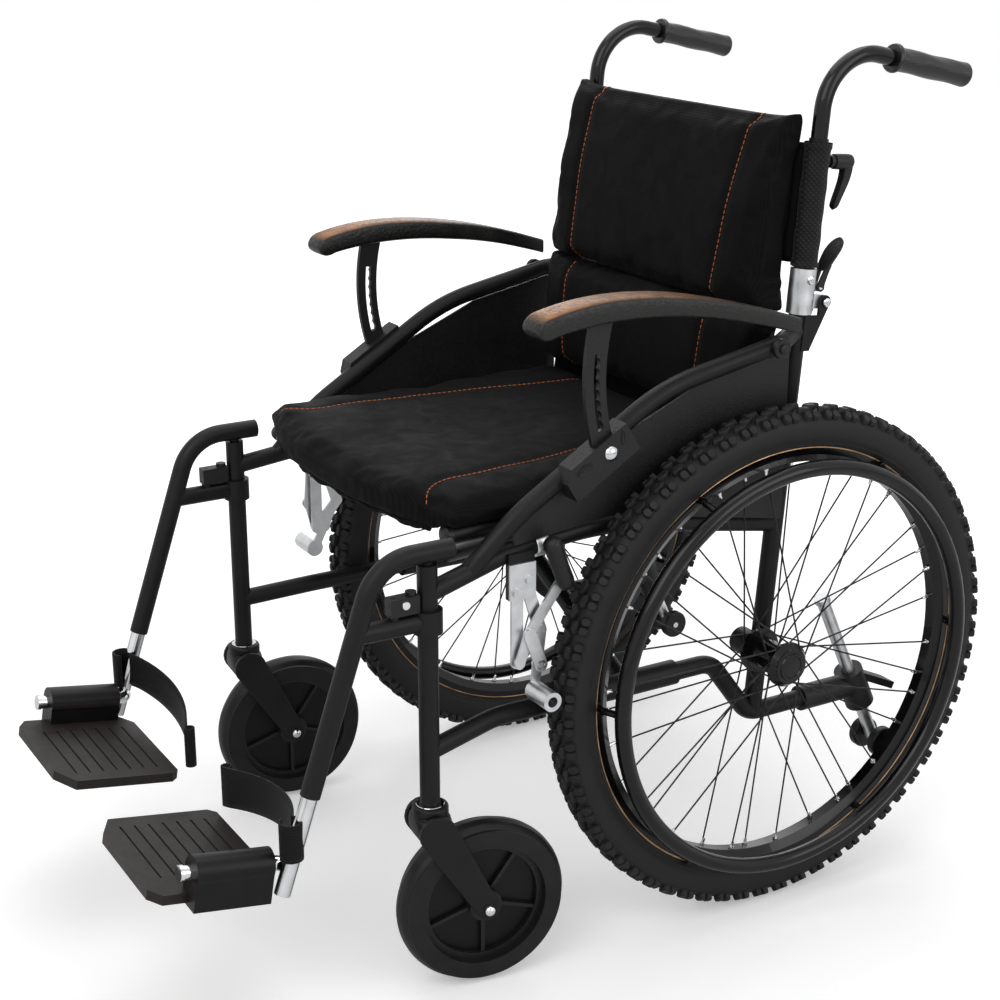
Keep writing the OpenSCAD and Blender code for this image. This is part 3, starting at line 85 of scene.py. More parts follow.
def linear(code):
    """An sRGB hex colour as linear red, green, blue and alpha."""
    values = []
    for i in (1, 3, 5):
        c = int(code[i:i + 2], 16) / 255
        values.append(c / 12.92 if c <= 0.04045 else ((c + 0.055) / 1.055) ** 2.4)
    return (*values, 1.0)


def at(x, y, z):
    """A point of the chair in millimetres, y from the rear axle, as metres in the model's frame."""
    return Vector((x * MM, (y + AXLE_Y) * MM, z * MM))


def on_back(x, y, z):
    """A point of the leaning back, in millimetres from the cane's foot."""
    c, s = math.cos(BACK_LEAN), math.sin(BACK_LEAN)
    return at(x, BACK_FOOT[0] + y * c + z * s, BACK_FOOT[1] + z * c - y * s)


# Sizes and colours that a user would change


def length_prop(name, text, value):
    return FloatProperty(name=name, description=text, default=value, min=0.0, unit="LENGTH", precision=4)


def colour_prop(name, text, code):
    return FloatVectorProperty(name=name, description=text, default=linear(code), size=4, min=0, max=1,
                               subtype="COLOR")


class ChairSizes(bpy.types.PropertyGroup):
    lug_count: IntProperty(name="Lugs a row", description="Tread lugs in each row of a rear tyre", default=64,
                           min=24)
    lug_height: length_prop("Lug height", "How far a tread lug stands off the tyre", 0.0058)
    stitch: length_prop("Stitch length", "Length of one stitch of the contrast thread", 0.0058)
    stitch_gap: length_prop("Stitch gap", "Gap between two stitches", 0.0009)
    thread: length_prop("Thread radius", "Radius of the contrast thread", 0.0006)
    piping: length_prop("Piping radius", "Radius of the piping under the seat's front edge", 0.0034)
    sleeve: length_prop("Sleeve radius", "Radius of the braided sleeve on a back cane", 0.0146)
    seat_swell: length_prop("Seat swell", "Most that a point of the seat cushion swells", 0.012)
    back_swell: length_prop("Back swell", "Most that a point of a back cushion swells", 0.010)


class ChairColours(bpy.types.PropertyGroup):
    coat: colour_prop("Frame coat", "Powder coat of the frame", "#161617")
    enamel: colour_prop("Gloss enamel", "Rims, hand rims and push handles", "#0a0a0b")
    plastic: colour_prop("Moulded plastic", "Side panels, castor hubs and levers", "#141415")
    plate: colour_prop("Footplate plastic", "Moulded footplates", "#221e1c")
    tread: colour_prop("Tyre rubber", "Rear tyres", "#181818")
    nylon: colour_prop("Nylon cloth", "Seat and back covers", "#101011")
    thread: colour_prop("Contrast thread", "Stitching on the covers", "#b85c1d")
    alloy: colour_prop("Satin alloy", "Brakes, hinge blocks and anti-tip legs", "#d2d4d6")
    pad: colour_prop("Arm pad", "Moulded arm pads", "#141312")
    floor: colour_prop("Floor", "Studio floor", "#f4f4f4")


# Materials

TONE_BAND = (0.35, 0.65)
PATTERN_RANGE = (0.3, 0.7)


def add(tree, kind, sockets=None, **settings):
    """Adds a node with its settings, its values and its links."""
    node = tree.nodes.new(kind)
    for key, value in settings.items():
        setattr(node, key, value)
    for key, value in (sockets or {}).items():
        if isinstance(value, bpy.types.NodeSocket):
            tree.links.new(value, node.inputs[key])
        else:
            node.inputs[key].default_value = value
    return node


def start(name, colour, roughness, **sockets):
    """A material with its shader's plain values set: itself, its tree, its shader and object coordinates."""
    mat = bpy.data.materials.new(name)
    mat.use_nodes = True
    tree = mat.node_tree
    shader = tree.nodes["Principled BSDF"]
    shader.inputs["Base Color"].default_value = colour
    shader.inputs["Roughness"].default_value = roughness
    for key, value in sockets.items():
        shader.inputs[key.replace("_", " ")].default_value = value
    coords = add(tree, "ShaderNodeTexCoord").outputs["Object"]
    return mat, tree, shader, coords


def work(tree, shader, tones, rough=None, relief=None):
    """Lets patterns lead a finish's colour, its roughness and its relief, whose height is in millimetres."""
    pattern, dark, light, *band = tones
    ramp = add(tree, "ShaderNodeValToRGB", {"Fac": pattern})
    for element, place, colour in zip(ramp.color_ramp.elements, band or TONE_BAND, (dark, light)):
        element.position, element.color = place, colour
    tree.links.new(ramp.outputs["Color"], shader.inputs["Base Color"])
    if rough:
        pattern, low, high = rough
        span = add(tree, "ShaderNodeMapRange", {"Value": pattern, "From Min": PATTERN_RANGE[0],
                                                "From Max": PATTERN_RANGE[1], "To Min": low, "To Max": high})
        tree.links.new(span.outputs["Result"], shader.inputs["Roughness"])
    if relief:
        pattern, strength, height = relief
        bump = add(tree, "ShaderNodeBump", {"Height": pattern, "Strength": strength, "Distance": height * MM})
        tree.links.new(bump.outputs["Normal"], shader.inputs["Normal"])


def shade(colour, share):
    """A colour made darker or lighter by a share."""
    return (*[min(1.0, c * share) for c in colour[:3]], 1.0)


def per_metre(millimetres):
    """Scale of a noise or cell texture whose features have this size."""
    return 1.0 / (millimetres * MM)


def bands(millimetres):
    """Scale of a wave texture whose bands repeat at this pitch."""
    return math.tau / 20 / (millimetres * MM)


def clouded(name, colour, roughness, cloud, dark, light, rough=None, grain=None, **sockets):
    """A finish whose tone and roughness drift with one noise, over the relief of a finer one.

    cloud holds the noise's size in millimetres and its detail; grain the same, then its strength and height.
    """
    mat, tree, shader, coords = start(name, colour, roughness, **sockets)
    size, detail = cloud
    drift = add(tree, "ShaderNodeTexNoise", {"Vector": coords, "Scale": per_metre(size), "Detail": detail})
    drift, relief = drift.outputs["Fac"], None
    if grain:
        size, detail, strength, height = grain
        fine = add(tree, "ShaderNodeTexNoise", {"Vector": coords, "Scale": per_metre(size), "Detail": detail})
        relief = (fine.outputs["Fac"], strength, height)
    work(tree, shader, (drift, dark, light), rough and (drift, *rough), relief)
    return mat


def powder_coat(c):
    # Powder coated steel: baked in one coat, so a low sheen with an orange peel, drawn 2.5 mm wide to show
    return clouded("powder_coated_steel", c.coat, 0.42, (60, 3.0), shade(c.coat, 0.86), shade(c.coat, 1.12),
                   (0.36, 0.5), (2.5, 2.0, 0.22, 0.5), Specular_IOR_Level=0.2)


def gloss_enamel(c):
    # Wet enamel on drawn tube: deep black with sharp long highlights under a clear coat
    return clouded("gloss_enamelled_tube", c.enamel, 0.16, (45, 4.0), shade(c.enamel, 0.8),
                   shade(c.enamel, 1.35), (0.12, 0.24), Specular_IOR_Level=0.22, Coat_Weight=0.16,
                   Coat_Roughness=0.04)


def grained_abs(c):
    # Moulded ABS with a spark-eroded grain: dull, with fine pits drawn about 2 mm apart to show
    mat, tree, shader, coords = start("moulded_abs", c.plastic, 0.5, IOR=1.53, Specular_IOR_Level=0.3)
    pits = add(tree, "ShaderNodeTexVoronoi", {"Vector": coords, "Scale": per_metre(2.2)},
               feature="SMOOTH_F1")
    cloud = add(tree, "ShaderNodeTexNoise", {"Vector": coords, "Scale": per_metre(35), "Detail": 3.0})
    work(tree, shader, (cloud.outputs["Fac"], shade(c.plastic, 0.85), shade(c.plastic, 1.2)),
         (pits.outputs["Distance"], 0.42, 0.58), (pits.outputs["Distance"], 0.3, 0.5))
    return mat


def footplate_plastic(c):
    # Moulded polypropylene: waxy brown grey, scuffed lighter by shoes, its grain drawn 2.4 mm wide to show
    mat, tree, shader, coords = start("moulded_polypropylene", c.plate, 0.46, IOR=1.49,
                                      Specular_IOR_Level=0.22)
    scuff = add(tree, "ShaderNodeTexNoise", {"Vector": coords, "Scale": per_metre(18), "Detail": 6.0,
                                             "Roughness": 0.7})
    grain = add(tree, "ShaderNodeTexNoise", {"Vector": coords, "Scale": per_metre(2.4), "Detail": 2.0})
    work(tree, shader, (scuff.outputs["Fac"], shade(c.plate, 0.85), shade(c.plate, 1.25)),
         (scuff.outputs["Fac"], 0.4, 0.56), (grain.outputs["Fac"], 0.25, 0.4))
    return mat


def filled_nylon_and_pocket_shade(c):
    # Glass filled nylon: hinge blocks moulded deep black, seen mostly by a smooth broad sheen; on the floor
    # of the castor hubs' pockets the same near black is painted shade
    return clouded("glass_filled_nylon", shade(c.plastic, 0.4), 0.4, (30, 3.0), shade(c.plastic, 0.3),
                   shade(c.plastic, 0.55), (0.34, 0.46), IOR=1.53, Specular_IOR_Level=0.2)


def tyre_rubber(c):
    # Vulcanised rubber: dull black, dusty in patches, with a fine moulded skin drawn 2.6 mm wide to show
    return clouded("vulcanised_rubber", c.tread, 0.58, (22, 5.0), shade(c.tread, 0.8), shade(c.tread, 1.35),
                   (0.5, 0.66), (2.6, 2.0, 0.2, 0.4), IOR=1.52, Specular_IOR_Level=0.25)


def castor_rubber(c):
    # Cast polyurethane: smoother than the tyres, with a soft satin sheen
    return clouded("cast_polyurethane", shade(c.tread, 0.8), 0.42, (28, 3.0), shade(c.tread, 0.65),
                   shade(c.tread, 1.05), (0.36, 0.5), IOR=1.5, Specular_IOR_Level=0.25)


def grip_rubber(c):
    # Moulded soft grip: rubber polished by hands, so it shines, over a dotted hold with dots 3.2 mm apart
    mat, tree, shader, coords = start("moulded_grip_rubber", shade(c.tread, 0.6), 0.36, IOR=1.5,
                                      Specular_IOR_Level=0.5)
    dots = add(tree, "ShaderNodeTexVoronoi", {"Vector": coords, "Scale": per_metre(3.2), "Randomness": 0.1})
    work(tree, shader, (dots.outputs["Distance"], shade(c.tread, 0.8), shade(c.tread, 0.45)),
         relief=(dots.outputs["Distance"], 0.5, -0.6))
    return mat


def satin_alloy(c):
    # Anodised aluminium: satin silver with a faint cloud, its bead blasting drawn 2.2 mm wide to show
    return clouded("satin_anodised_aluminium", c.alloy, 0.36, (14, 4.0), shade(c.alloy, 0.88),
                   shade(c.alloy, 1.06), (0.3, 0.44), (2.2, 1.0, 0.08, 0.3), Metallic=1.0)


def chrome_plate():
    # Bright chrome over polished tube: a mirror with a trace of haze
    return clouded("chrome_plate", linear("#d6d8da"), 0.08, (30, 4.0), linear("#c9cbce"), linear("#e2e3e5"),
                   (0.05, 0.14), Metallic=1.0)


def woven_nylon(c, name, across, along):
    # Woven nylon pack cloth: matt black with a slight sheen; its 0.6 mm threads are drawn 2.6 mm wide to show
    mat, tree, shader, coords = start(name, c.nylon, 0.68, Sheen_Weight=0.01, Sheen_Roughness=0.5,
                                      Specular_IOR_Level=0.05)
    threads = {"Vector": coords, "Scale": bands(2.6), "Distortion": 0.6, "Detail": 1.0}
    warp, weft = (add(tree, "ShaderNodeTexWave", threads, bands_direction=way) for way in (across, along))
    cloth = add(tree, "ShaderNodeMath", {0: warp.outputs["Fac"], 1: weft.outputs["Fac"]},
                operation="MULTIPLY")
    crease = add(tree, "ShaderNodeTexNoise", {"Vector": coords, "Scale": per_metre(26), "Detail": 5.0,
                                              "Distortion": 0.8})
    both = add(tree, "ShaderNodeMath", {0: crease.outputs["Fac"], 1: 3.0, 2: cloth.outputs[0]},
               operation="MULTIPLY_ADD")
    work(tree, shader, (cloth.outputs[0], shade(c.nylon, 0.7), shade(c.nylon, 1.5), 0.1, 0.9),
         (crease.outputs["Fac"], 0.6, 0.78), (both.outputs[0], 0.3, 0.6))
    return mat


def basket_weave(c):
    # Braided polyester sleeve: diagonal strands in two shades of black, 4.2 mm apart
    mat, tree, shader, coords = start("braided_polyester", c.nylon, 0.6, Sheen_Weight=0.05,
                                      Specular_IOR_Level=0.2)
    strands = []
    for angle in (45, -45):
        lie = add(tree, "ShaderNodeVectorRotate", {"Vector": coords, "Axis": (0.86, -0.5, 0.0),
                                                   "Angle": math.radians(angle)})
        strands.append(add(tree, "ShaderNodeTexWave", {"Vector": lie.outputs[0], "Scale": bands(4.2)},
                           bands_direction="Z"))
    braid = add(tree, "ShaderNodeMath", {i: strand.outputs["Fac"] for i, strand in enumerate(strands)},
                operation="MULTIPLY")
    work(tree, shader, (braid.outputs[0], shade(c.nylon, 0.4), shade(c.nylon, 2.6), 0.1, 0.8),
         relief=(braid.outputs[0], 0.7, 1.0))
    return mat


# Where the tan of wear and painted warm highlight rises behind an arm pad's nose, and where it fades towards
# the rear, in millimetres
WEAR_AND_HIGHLIGHT_NOSE = (-332, -314)
WEAR_AND_HIGHLIGHT_FADE = (-310, -70)


def pebbled_pad(c):
    # Self-skinned polyurethane foam: pebbled black skin, with a mottled tan along its top that is partly wear
    # and partly a painted warm highlight on the faces turned up
    mat, tree, shader, coords = start("self_skinned_foam", c.pad, 0.48, IOR=1.48, Specular_IOR_Level=0.4)
    pebble = add(tree, "ShaderNodeTexVoronoi", {"Vector": coords, "Scale": per_metre(3.0)},
                 feature="SMOOTH_F1")
    along = add(tree, "ShaderNodeSeparateXYZ", {"Vector": coords}).outputs["Y"]
    normal = add(tree, "ShaderNodeNewGeometry").outputs["Normal"]
    facing = add(tree, "ShaderNodeSeparateXYZ", {"Vector": normal}).outputs["Z"]
    mottle = add(tree, "ShaderNodeTexNoise", {"Vector": coords, "Scale": per_metre(14), "Detail": 5.0})
    fade, nose = ([at(0, y, 0).y for y in ends] for ends in (WEAR_AND_HIGHLIGHT_FADE, WEAR_AND_HIGHLIGHT_NOSE))
    warm = None
    # Share of tan, wear together with a painted warm highlight: on faces turned up, rising behind the nose,
    # fading to the rear, mottled
    for value, ends, least, most in ((along, fade, 1.0, 0.1), (facing, (0.55, 0.9), 0.0, 1.0),
                                     (along, nose, 0.0, 1.0), (mottle.outputs["Fac"], (0.3, 0.6), 0.45, 1.0)):
        share = add(tree, "ShaderNodeMapRange", {"Value": value, "From Min": ends[0], "From Max": ends[1],
                                                 "To Min": least, "To Max": most}).outputs["Result"]
        if warm is not None:
            share = add(tree, "ShaderNodeMath", {0: warm, 1: share}, operation="MULTIPLY").outputs[0]
        warm = share
    work(tree, shader, (warm, c.pad, linear("#94602f"), 0.05, 0.95),
         (pebble.outputs["Distance"], 0.38, 0.56), (pebble.outputs["Distance"], 0.5, 0.9))
    return mat


def webbing(c):
    # Polyester webbing: ribbed black tape, ribs 3 mm apart
    mat, tree, shader, coords = start("polyester_webbing", c.nylon, 0.66, Sheen_Weight=0.04,
                                      Specular_IOR_Level=0.12)
    ribs = add(tree, "ShaderNodeTexWave", {"Vector": coords, "Scale": bands(3.0)}, bands_direction="Z")
    work(tree, shader, (ribs.outputs["Fac"], shade(c.nylon, 0.7), shade(c.nylon, 1.5), 0.2, 0.8),
         relief=(ribs.outputs["Fac"], 0.5, 0.7))
    return mat


def contrast_thread(c):
    # Bonded polyester thread: orange, with a twist that breaks its colour, drawn 3 mm long to show
    return clouded("bonded_thread", c.thread, 0.5, (3.0, 2.0), shade(c.thread, 0.7), shade(c.thread, 1.15))


def spoke_steel():
    # Blackened stainless spokes: thin dark lines with a dull metal glint
    return clouded("blackened_spoke_steel", linear("#2b2b2d"), 0.34, (12, 3.0), linear("#1f1f20"),
                   linear("#38383a"), (0.28, 0.42), Metallic=0.9)


def bronze_line():
    # Machined edge of the rim: a thin bright line with a warm cast
    return clouded("machined_rim_edge", linear("#b08a62"), 0.28, (20, 3.0), linear("#8f7050"),
                   linear("#c8a27a"), Metallic=1.0)


FINISH = {}


def make_finishes(c):
    FINISH.update(
        coat=powder_coat(c), enamel=gloss_enamel(c), plastic=grained_abs(c), plate=footplate_plastic(c),
        block=filled_nylon_and_pocket_shade(c), tread=tyre_rubber(c), castor=castor_rubber(c), grip=grip_rubber(c),
        alloy=satin_alloy(c), chrome=chrome_plate(), seat=woven_nylon(c, "woven_nylon_seat", "X", "Y"),
        back=woven_nylon(c, "woven_nylon_back", "X", "Z"), sleeve=basket_weave(c), pad=pebbled_pad(c),
        webbing=webbing(c), thread=contrast_thread(c), spoke=spoke_steel(), line=bronze_line())


# Forms


def turns(steps):
    """Angles of even steps round a circle."""
    return [math.tau * i / steps for i in range(steps)]


def squircle(steps=24, soft=0.5):
    """Unit points round a rounded square."""
    return [[math.copysign(abs(f(a)) ** soft, f(a)) for f in (math.cos, math.sin)] for a in turns(steps)]


class Form:
    """Points and faces of one piece, gathered from sweeps and turnings."""

    def __init__(self):
        self.points, self.faces = [], []

    def skin(self, rings, around=True, along=False, caps=True):
        """Joins rings of points: around closes each ring, along closes the row of rings."""
        first, n = len(self.points), len(rings[0])
        for ring in rings:
            self.points.extend(ring)
        span = n if around else n - 1
        for i in range(len(rings) if along else len(rings) - 1):
            a, b = first + i * n, first + (i + 1) % len(rings) * n
            for j in range(span):
                k = (j + 1) % n
                self.faces.append((a + j, a + k, b + k, b + j))
        if caps and not along:
            self.faces.append(tuple(range(first + n - 1, first - 1, -1)))
            last = first + (len(rings) - 1) * n
            self.faces.append(tuple(range(last, last + n)))
        return self

    def tube(self, path, radius, sides=12, closed=False):
        """Sweeps a circle along a path, with one radius or one for each point, in metres."""
        n, rings, side = len(path), [], None
        for i, p in enumerate(path):
            if closed:
                t = path[(i + 1) % n] - path[i - 1]
            else:
                t = path[min(i + 1, n - 1)] - path[max(i - 1, 0)]
            t.normalize()
            if side is None:
                side = t.orthogonal().normalized()
            side = (side - t * side.dot(t)).normalized()
            up = t.cross(side)
            r = radius[i] if isinstance(radius, list) else radius
            rings.append([p + side * (r * math.cos(a)) + up * (r * math.sin(a)) for a in turns(sides)])
        return self.skin(rings, along=closed, caps=not closed)

    def turn(self, profile, origin, axis, steps=48, closed=False):
        """Turns pairs of radius and distance along the axis, in millimetres, about an axis."""
        axis = axis.normalized()
        side = axis.orthogonal().normalized()
        up = axis.cross(side)
        rings = []
        for a in turns(steps):
            out = side * math.cos(a) + up * math.sin(a)
            rings.append([origin + (out * r + axis * z) * MM for r, z in profile])
        return self.skin(rings, around=closed, along=True, caps=False)

    def piece(self, name, finish, body, slot, degrees=38):
        """Makes the form a piece of the scene, with its finish, that rides on a body if one is given."""
        mesh = bpy.data.meshes.new(name)
        mesh.from_pydata([tuple(p) for p in self.points], [], self.faces)
        mesh.validate()
        obj = bpy.data.objects.new(name, mesh)
        bpy.context.scene.collection.objects.link(obj)
        turn_out(mesh)
        dress(obj, finish, degrees)
        if body:
            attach(obj, body)
        return obj


def turned(name, profile, place, axis, finish, body, slot, steps=48, closed=False):
    """A piece turned about an axis from one profile."""
    return Form().turn(profile, place, axis, steps, closed).piece(name, finish, body, slot)


def turn_out(mesh):
    """Merges doubled points and turns every face outward."""
    bm = bmesh.new()
    bm.from_mesh(mesh)
    bmesh.ops.remove_doubles(bm, verts=bm.verts, dist=1e-6)
    bmesh.ops.recalc_face_normals(bm, faces=bm.faces)
    bm.to_mesh(mesh)
    bm.free()


def dress(obj, finish, degrees):
    """Gives a piece one finish, smooth but for edges sharper than some degrees."""
    obj.data.materials.clear()
    obj.data.materials.append(FINISH[finish])
    obj.data.shade_smooth()
    obj.data.set_sharp_from_angle(angle=math.radians(degrees))


def thicken(piece, thickness):
    """Gives a sheet its thickness, in millimetres."""
    cloth = piece.modifiers.new("thickness", "SOLIDIFY")
    cloth.thickness, cloth.offset = thickness * MM, 0.0


# Cushions

FIT = 0.4
CLOTH_QUALITY, CLOTH_MASS, CLOTH_PRESSURE, CLOTH_STEPS = 4, 0.3, 4.0, 20
LAID_STEP, LOOK_BACK = 0.0015, 0.2
STITCH_LIFT = 0.7
STITCH_ENDS = (0.45, 0.9, 1.0, 1.0, 1.0, 0.9, 0.45)


def settle(obj):
    """Applies what the modifiers make of a piece, so that none is left on it."""
    made = bpy.data.meshes.new_from_object(obj.evaluated_get(bpy.context.evaluated_depsgraph_get()))
    obj.modifiers.clear()
    old, obj.data = obj.data, made
    bpy.data.meshes.remove(old)


def values_of(mesh, key):
    flat = np.zeros(len(mesh.vertices) * 3)
    mesh.vertices.foreach_get(key, flat)
    return flat.reshape(-1, 3)


def points_of(mesh):
    return values_of(mesh, "co")


def normals_of(mesh):
    return values_of(mesh, "normal")


def set_points(mesh, points):
    mesh.vertices.foreach_set("co", points.astype(float).ravel())
    mesh.update()


def leaning(points, angle):
    """Points turned about the X axis by an angle."""
    c, s = math.cos(angle), math.sin(angle)
    return points @ np.array(((1, 0, 0), (0, c, s), (0, -s, c)))


def filled(points, solid, lean, axes):
    """Points stretched along some axes of a leaning frame, so that they fill the solid they came from."""
    points, solid = leaning(points, lean), leaning(solid, lean)
    for k in axes:
        low, high = points[:, k].min(), points[:, k].max()
        first, last = solid[:, k].min() + FIT * MM, solid[:, k].max() - FIT * MM
        points[:, k] = first + (points[:, k] - low) / (high - low) * (last - first)
    return leaning(points, -lean)


def swollen(obj, cap):
    cloth = obj.modifiers.new("cloth", "CLOTH")
    cloth.settings.quality = CLOTH_QUALITY
    cloth.settings.mass = CLOTH_MASS
    cloth.settings.use_pressure = True
    cloth.settings.uniform_pressure_force = CLOTH_PRESSURE
    cloth.settings.effector_weights.gravity = 0.0
    cloth.point_cache.frame_start, cloth.point_cache.frame_end = 1, CLOTH_STEPS
    scene = bpy.context.scene
    for step in range(1, CLOTH_STEPS + 1):
        scene.frame_set(step)
    settle(obj)
    end = points_of(obj.data)
    scene.frame_set(1)
    return end


def stuffed(node, name, inset, voxel, cap, lean, axes):
    """A cushion swollen as cloth from a solid of the model, first drawn in at its low and high sides."""
    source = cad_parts[node]
    obj = bpy.data.objects.new(name, source.data.copy())
    bpy.context.scene.collection.objects.link(obj)
    low, high = (np.array(corner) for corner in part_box(node))
    first, last = low + np.array(inset[0]) * MM, high - np.array(inset[1]) * MM
    set_points(obj.data, first + (points_of(obj.data) - low) / (high - low) * (last - first))
    remesh = obj.modifiers.new("remesh", "REMESH")
    remesh.mode = "VOXEL"
    remesh.voxel_size = voxel
    settle(obj)
    begin = points_of(obj.data)
    move = swollen(obj, cap) - begin
    far = np.linalg.norm(move, axis=1, keepdims=True)
    set_points(obj.data, begin + move * np.minimum(1.0, cap / np.maximum(far, 1e-9)))
    finer = obj.modifiers.new("finer", "SUBSURF")
    finer.levels = finer.render_levels = 1
    settle(obj)
    set_points(obj.data, filled(points_of(obj.data), points_of(source.data), lean, axes))
    return obj


def nearest_on(path, points, axes):
    """Distance of each point from a path, seen along the axis that axes leave out."""
    best = np.full(len(points), np.inf)
    flat = points[:, axes]
    for a, b in zip(path, path[1:]):
        a, b = np.array(a)[list(axes)], np.array(b)[list(axes)]
        line = b - a
        t = np.clip(((flat - a) @ line) / max(line @ line, 1e-12), 0, 1)
        best = np.minimum(best, np.linalg.norm(flat - a - t[:, None] * line, axis=1))
    return best


def sewn(obj, path, axes, towards, width, depth):
    """Draws a channel into a cushion under a line of stitching."""
    points, normals = points_of(obj.data), normals_of(obj.data)
    near = nearest_on(path, points, axes)
    facing = np.clip(normals @ np.array(towards) * 2, 0, 1)
    dip = depth * np.exp(-(near / width) ** 2) * facing
    set_points(obj.data, points - normals * dip[:, None])


def even(path, step):
    """Points along a path at an even step."""
    out, left = [Vector(path[0])], step
    for a, b in zip(path, path[1:]):
        a, b = Vector(a), Vector(b)
        run = (b - a).length
        while left <= run:
            out.append(a.lerp(b, left / run))
            left += step
        left -= run
    return out


def bezier(a, b, c, steps):
    """Points of a curve from a to c, drawn towards b."""
    out = []
    for i in range(steps + 1):
        t = i / steps
        out.append([p * (1 - t) ** 2 + q * 2 * t * (1 - t) + r * t * t for p, q, r in zip(a, b, c)])
    return out


def surface_of(obj):
    points = [v.co for v in obj.data.vertices]
    return BVHTree.FromPolygons(points, [tuple(p.vertices) for p in obj.data.polygons])


def laid(surface, path, look, lift):
    """A path laid on the first surface met when looking along look, and lifted off it."""
    on = []
    for p in even(path, LAID_STEP):
        hit, normal = surface.ray_cast(p - look * LOOK_BACK, look)[:2]
        if hit is not None:
            on.append(hit + normal * lift)
    return on


def stitched(name, on, body, sizes):
    """A line of stitches along a path that lies on a cushion."""
    form, count = Form(), len(STITCH_ENDS)
    run = even(on, (sizes.stitch + sizes.stitch_gap) / (count + 1))
    for i in range(0, len(run) - count + 1, count + 1):
        form.tube(run[i:i + count], [sizes.thread * end for end in STITCH_ENDS], sides=6)
    return form.piece(name, "thread", body, "cloth")


# Stage

LENS, SENSOR = 66.43, 36.0
CAMERA_PLACE = (1.827, -1.0563, 1.1679)
CAMERA_AHEAD = (-0.817, 0.480, -0.319)
CAMERA_RIGHT = (0.507, 0.862, 0.0)
LIT_POINT = (0, 0, 0.45)
LAMPS = (  # name, place, size and power
    ("key_softbox", (1.6, -2.4, 2.9), 2.4, 42.0),
    ("side_softbox", (2.9, 1.3, 1.7), 1.8, 20.0),
    ("top_softbox", (-0.5, 0.3, 3.2), 2.6, 34.0),
    ("back_softbox", (-2.2, 1.6, 1.8), 1.6, 16.0),
)
AMBIENT = 0.42
FLOOR_REACH = 7.0
FLOOR_ROUGHNESS = 0.9
FLOOR_PALE = (0.8, 2.6, 0.3, 0.75)
WHITE = (1, 1, 1, 1)


class CHAIR_OT_stage(bpy.types.Operator):
    """Sets the camera, the soft studio light and the pale floor"""
    bl_idname = "chair.stage"
    bl_label = "Stage"

    def execute(self, context):
        scene = context.scene
        scene.view_settings.view_transform = "Standard"
        self.set_camera(scene)
        self.set_lamps(scene)
        self.set_world(scene)
        self.set_floor(scene)
        return {"FINISHED"}

    def set_camera(self, scene):
        lens = bpy.data.cameras.new("studio_camera")
        lens.lens, lens.sensor_width = LENS, SENSOR
        camera = bpy.data.objects.new("studio_camera", lens)
        scene.collection.objects.link(camera)
        ahead, right = Vector(CAMERA_AHEAD).normalized(), Vector(CAMERA_RIGHT)
        right = (right - ahead * right.dot(ahead)).normalized()
        turn = Matrix((right, right.cross(ahead), -ahead)).transposed()
        camera.matrix_world = Matrix.Translation(CAMERA_PLACE) @ turn.to_4x4()
        scene.camera = camera

    def set_lamps(self, scene):
        for name, place, size, power in LAMPS:
            lamp = bpy.data.lights.new(name, "AREA")
            lamp.size, lamp.energy = size, power
            obj = bpy.data.objects.new(name, lamp)
            obj.location = place
            obj.rotation_euler = (Vector(LIT_POINT) - obj.location).to_track_quat("-Z", "Y").to_euler()
            scene.collection.objects.link(obj)

    def set_world(self, scene):
        """A white backdrop to the camera and in reflections, and a plain level of light on the chair."""
        world = bpy.data.worlds.new("studio")
        scene.world = world
        world.use_nodes = True
        tree = world.node_tree
        ray = add(tree, "ShaderNodeLightPath").outputs
        seen = add(tree, "ShaderNodeMath", {0: ray["Is Camera Ray"], 1: ray["Is Transmission Ray"]},
                   operation="MAXIMUM")
        shine = add(tree, "ShaderNodeMath", {0: seen.outputs[0], 1: ray["Is Glossy Ray"]},
                    operation="MAXIMUM")
        level = add(tree, "ShaderNodeMapRange", {"Value": shine.outputs[0], "To Min": AMBIENT, "To Max": 1.0})
        backdrop = tree.nodes["Background"]
        backdrop.inputs["Color"].default_value = WHITE
        tree.links.new(level.outputs["Result"], backdrop.inputs["Strength"])

    def set_floor(self, scene):
        """A pale floor that keeps the chair's shadow and fades to white away from it."""
        ends = (-FLOOR_REACH, FLOOR_REACH)
        form = Form().skin([[Vector((x, y, 0.0)) for y in ends] for x in ends], around=False, caps=False)
        mesh = bpy.data.meshes.new("studio_floor")
        mesh.from_pydata([tuple(p) for p in form.points], [], form.faces)
        obj = bpy.data.objects.new("studio_floor", mesh)
        scene.collection.objects.link(obj)
        mat, tree, shader, coords = start("studio_floor_paint", scene.chair_colours.floor, FLOOR_ROUGHNESS)
        ray = add(tree, "ShaderNodeLightPath").outputs
        away = add(tree, "ShaderNodeVectorMath", {0: coords}, operation="LENGTH").outputs["Value"]
        near, far, least, most = FLOOR_PALE
        pale = add(tree, "ShaderNodeMapRange", {"Value": away, "From Min": near, "From Max": far,
                                                "To Min": least, "To Max": most}).outputs["Result"]
        lift = add(tree, "ShaderNodeMath", {0: ray["Is Camera Ray"], 1: pale}, operation="MULTIPLY")
        shader.inputs["Emission Color"].default_value = WHITE
        tree.links.new(lift.outputs[0], shader.inputs["Emission Strength"])
        mesh.materials.append(mat)


# Finishes of the solids

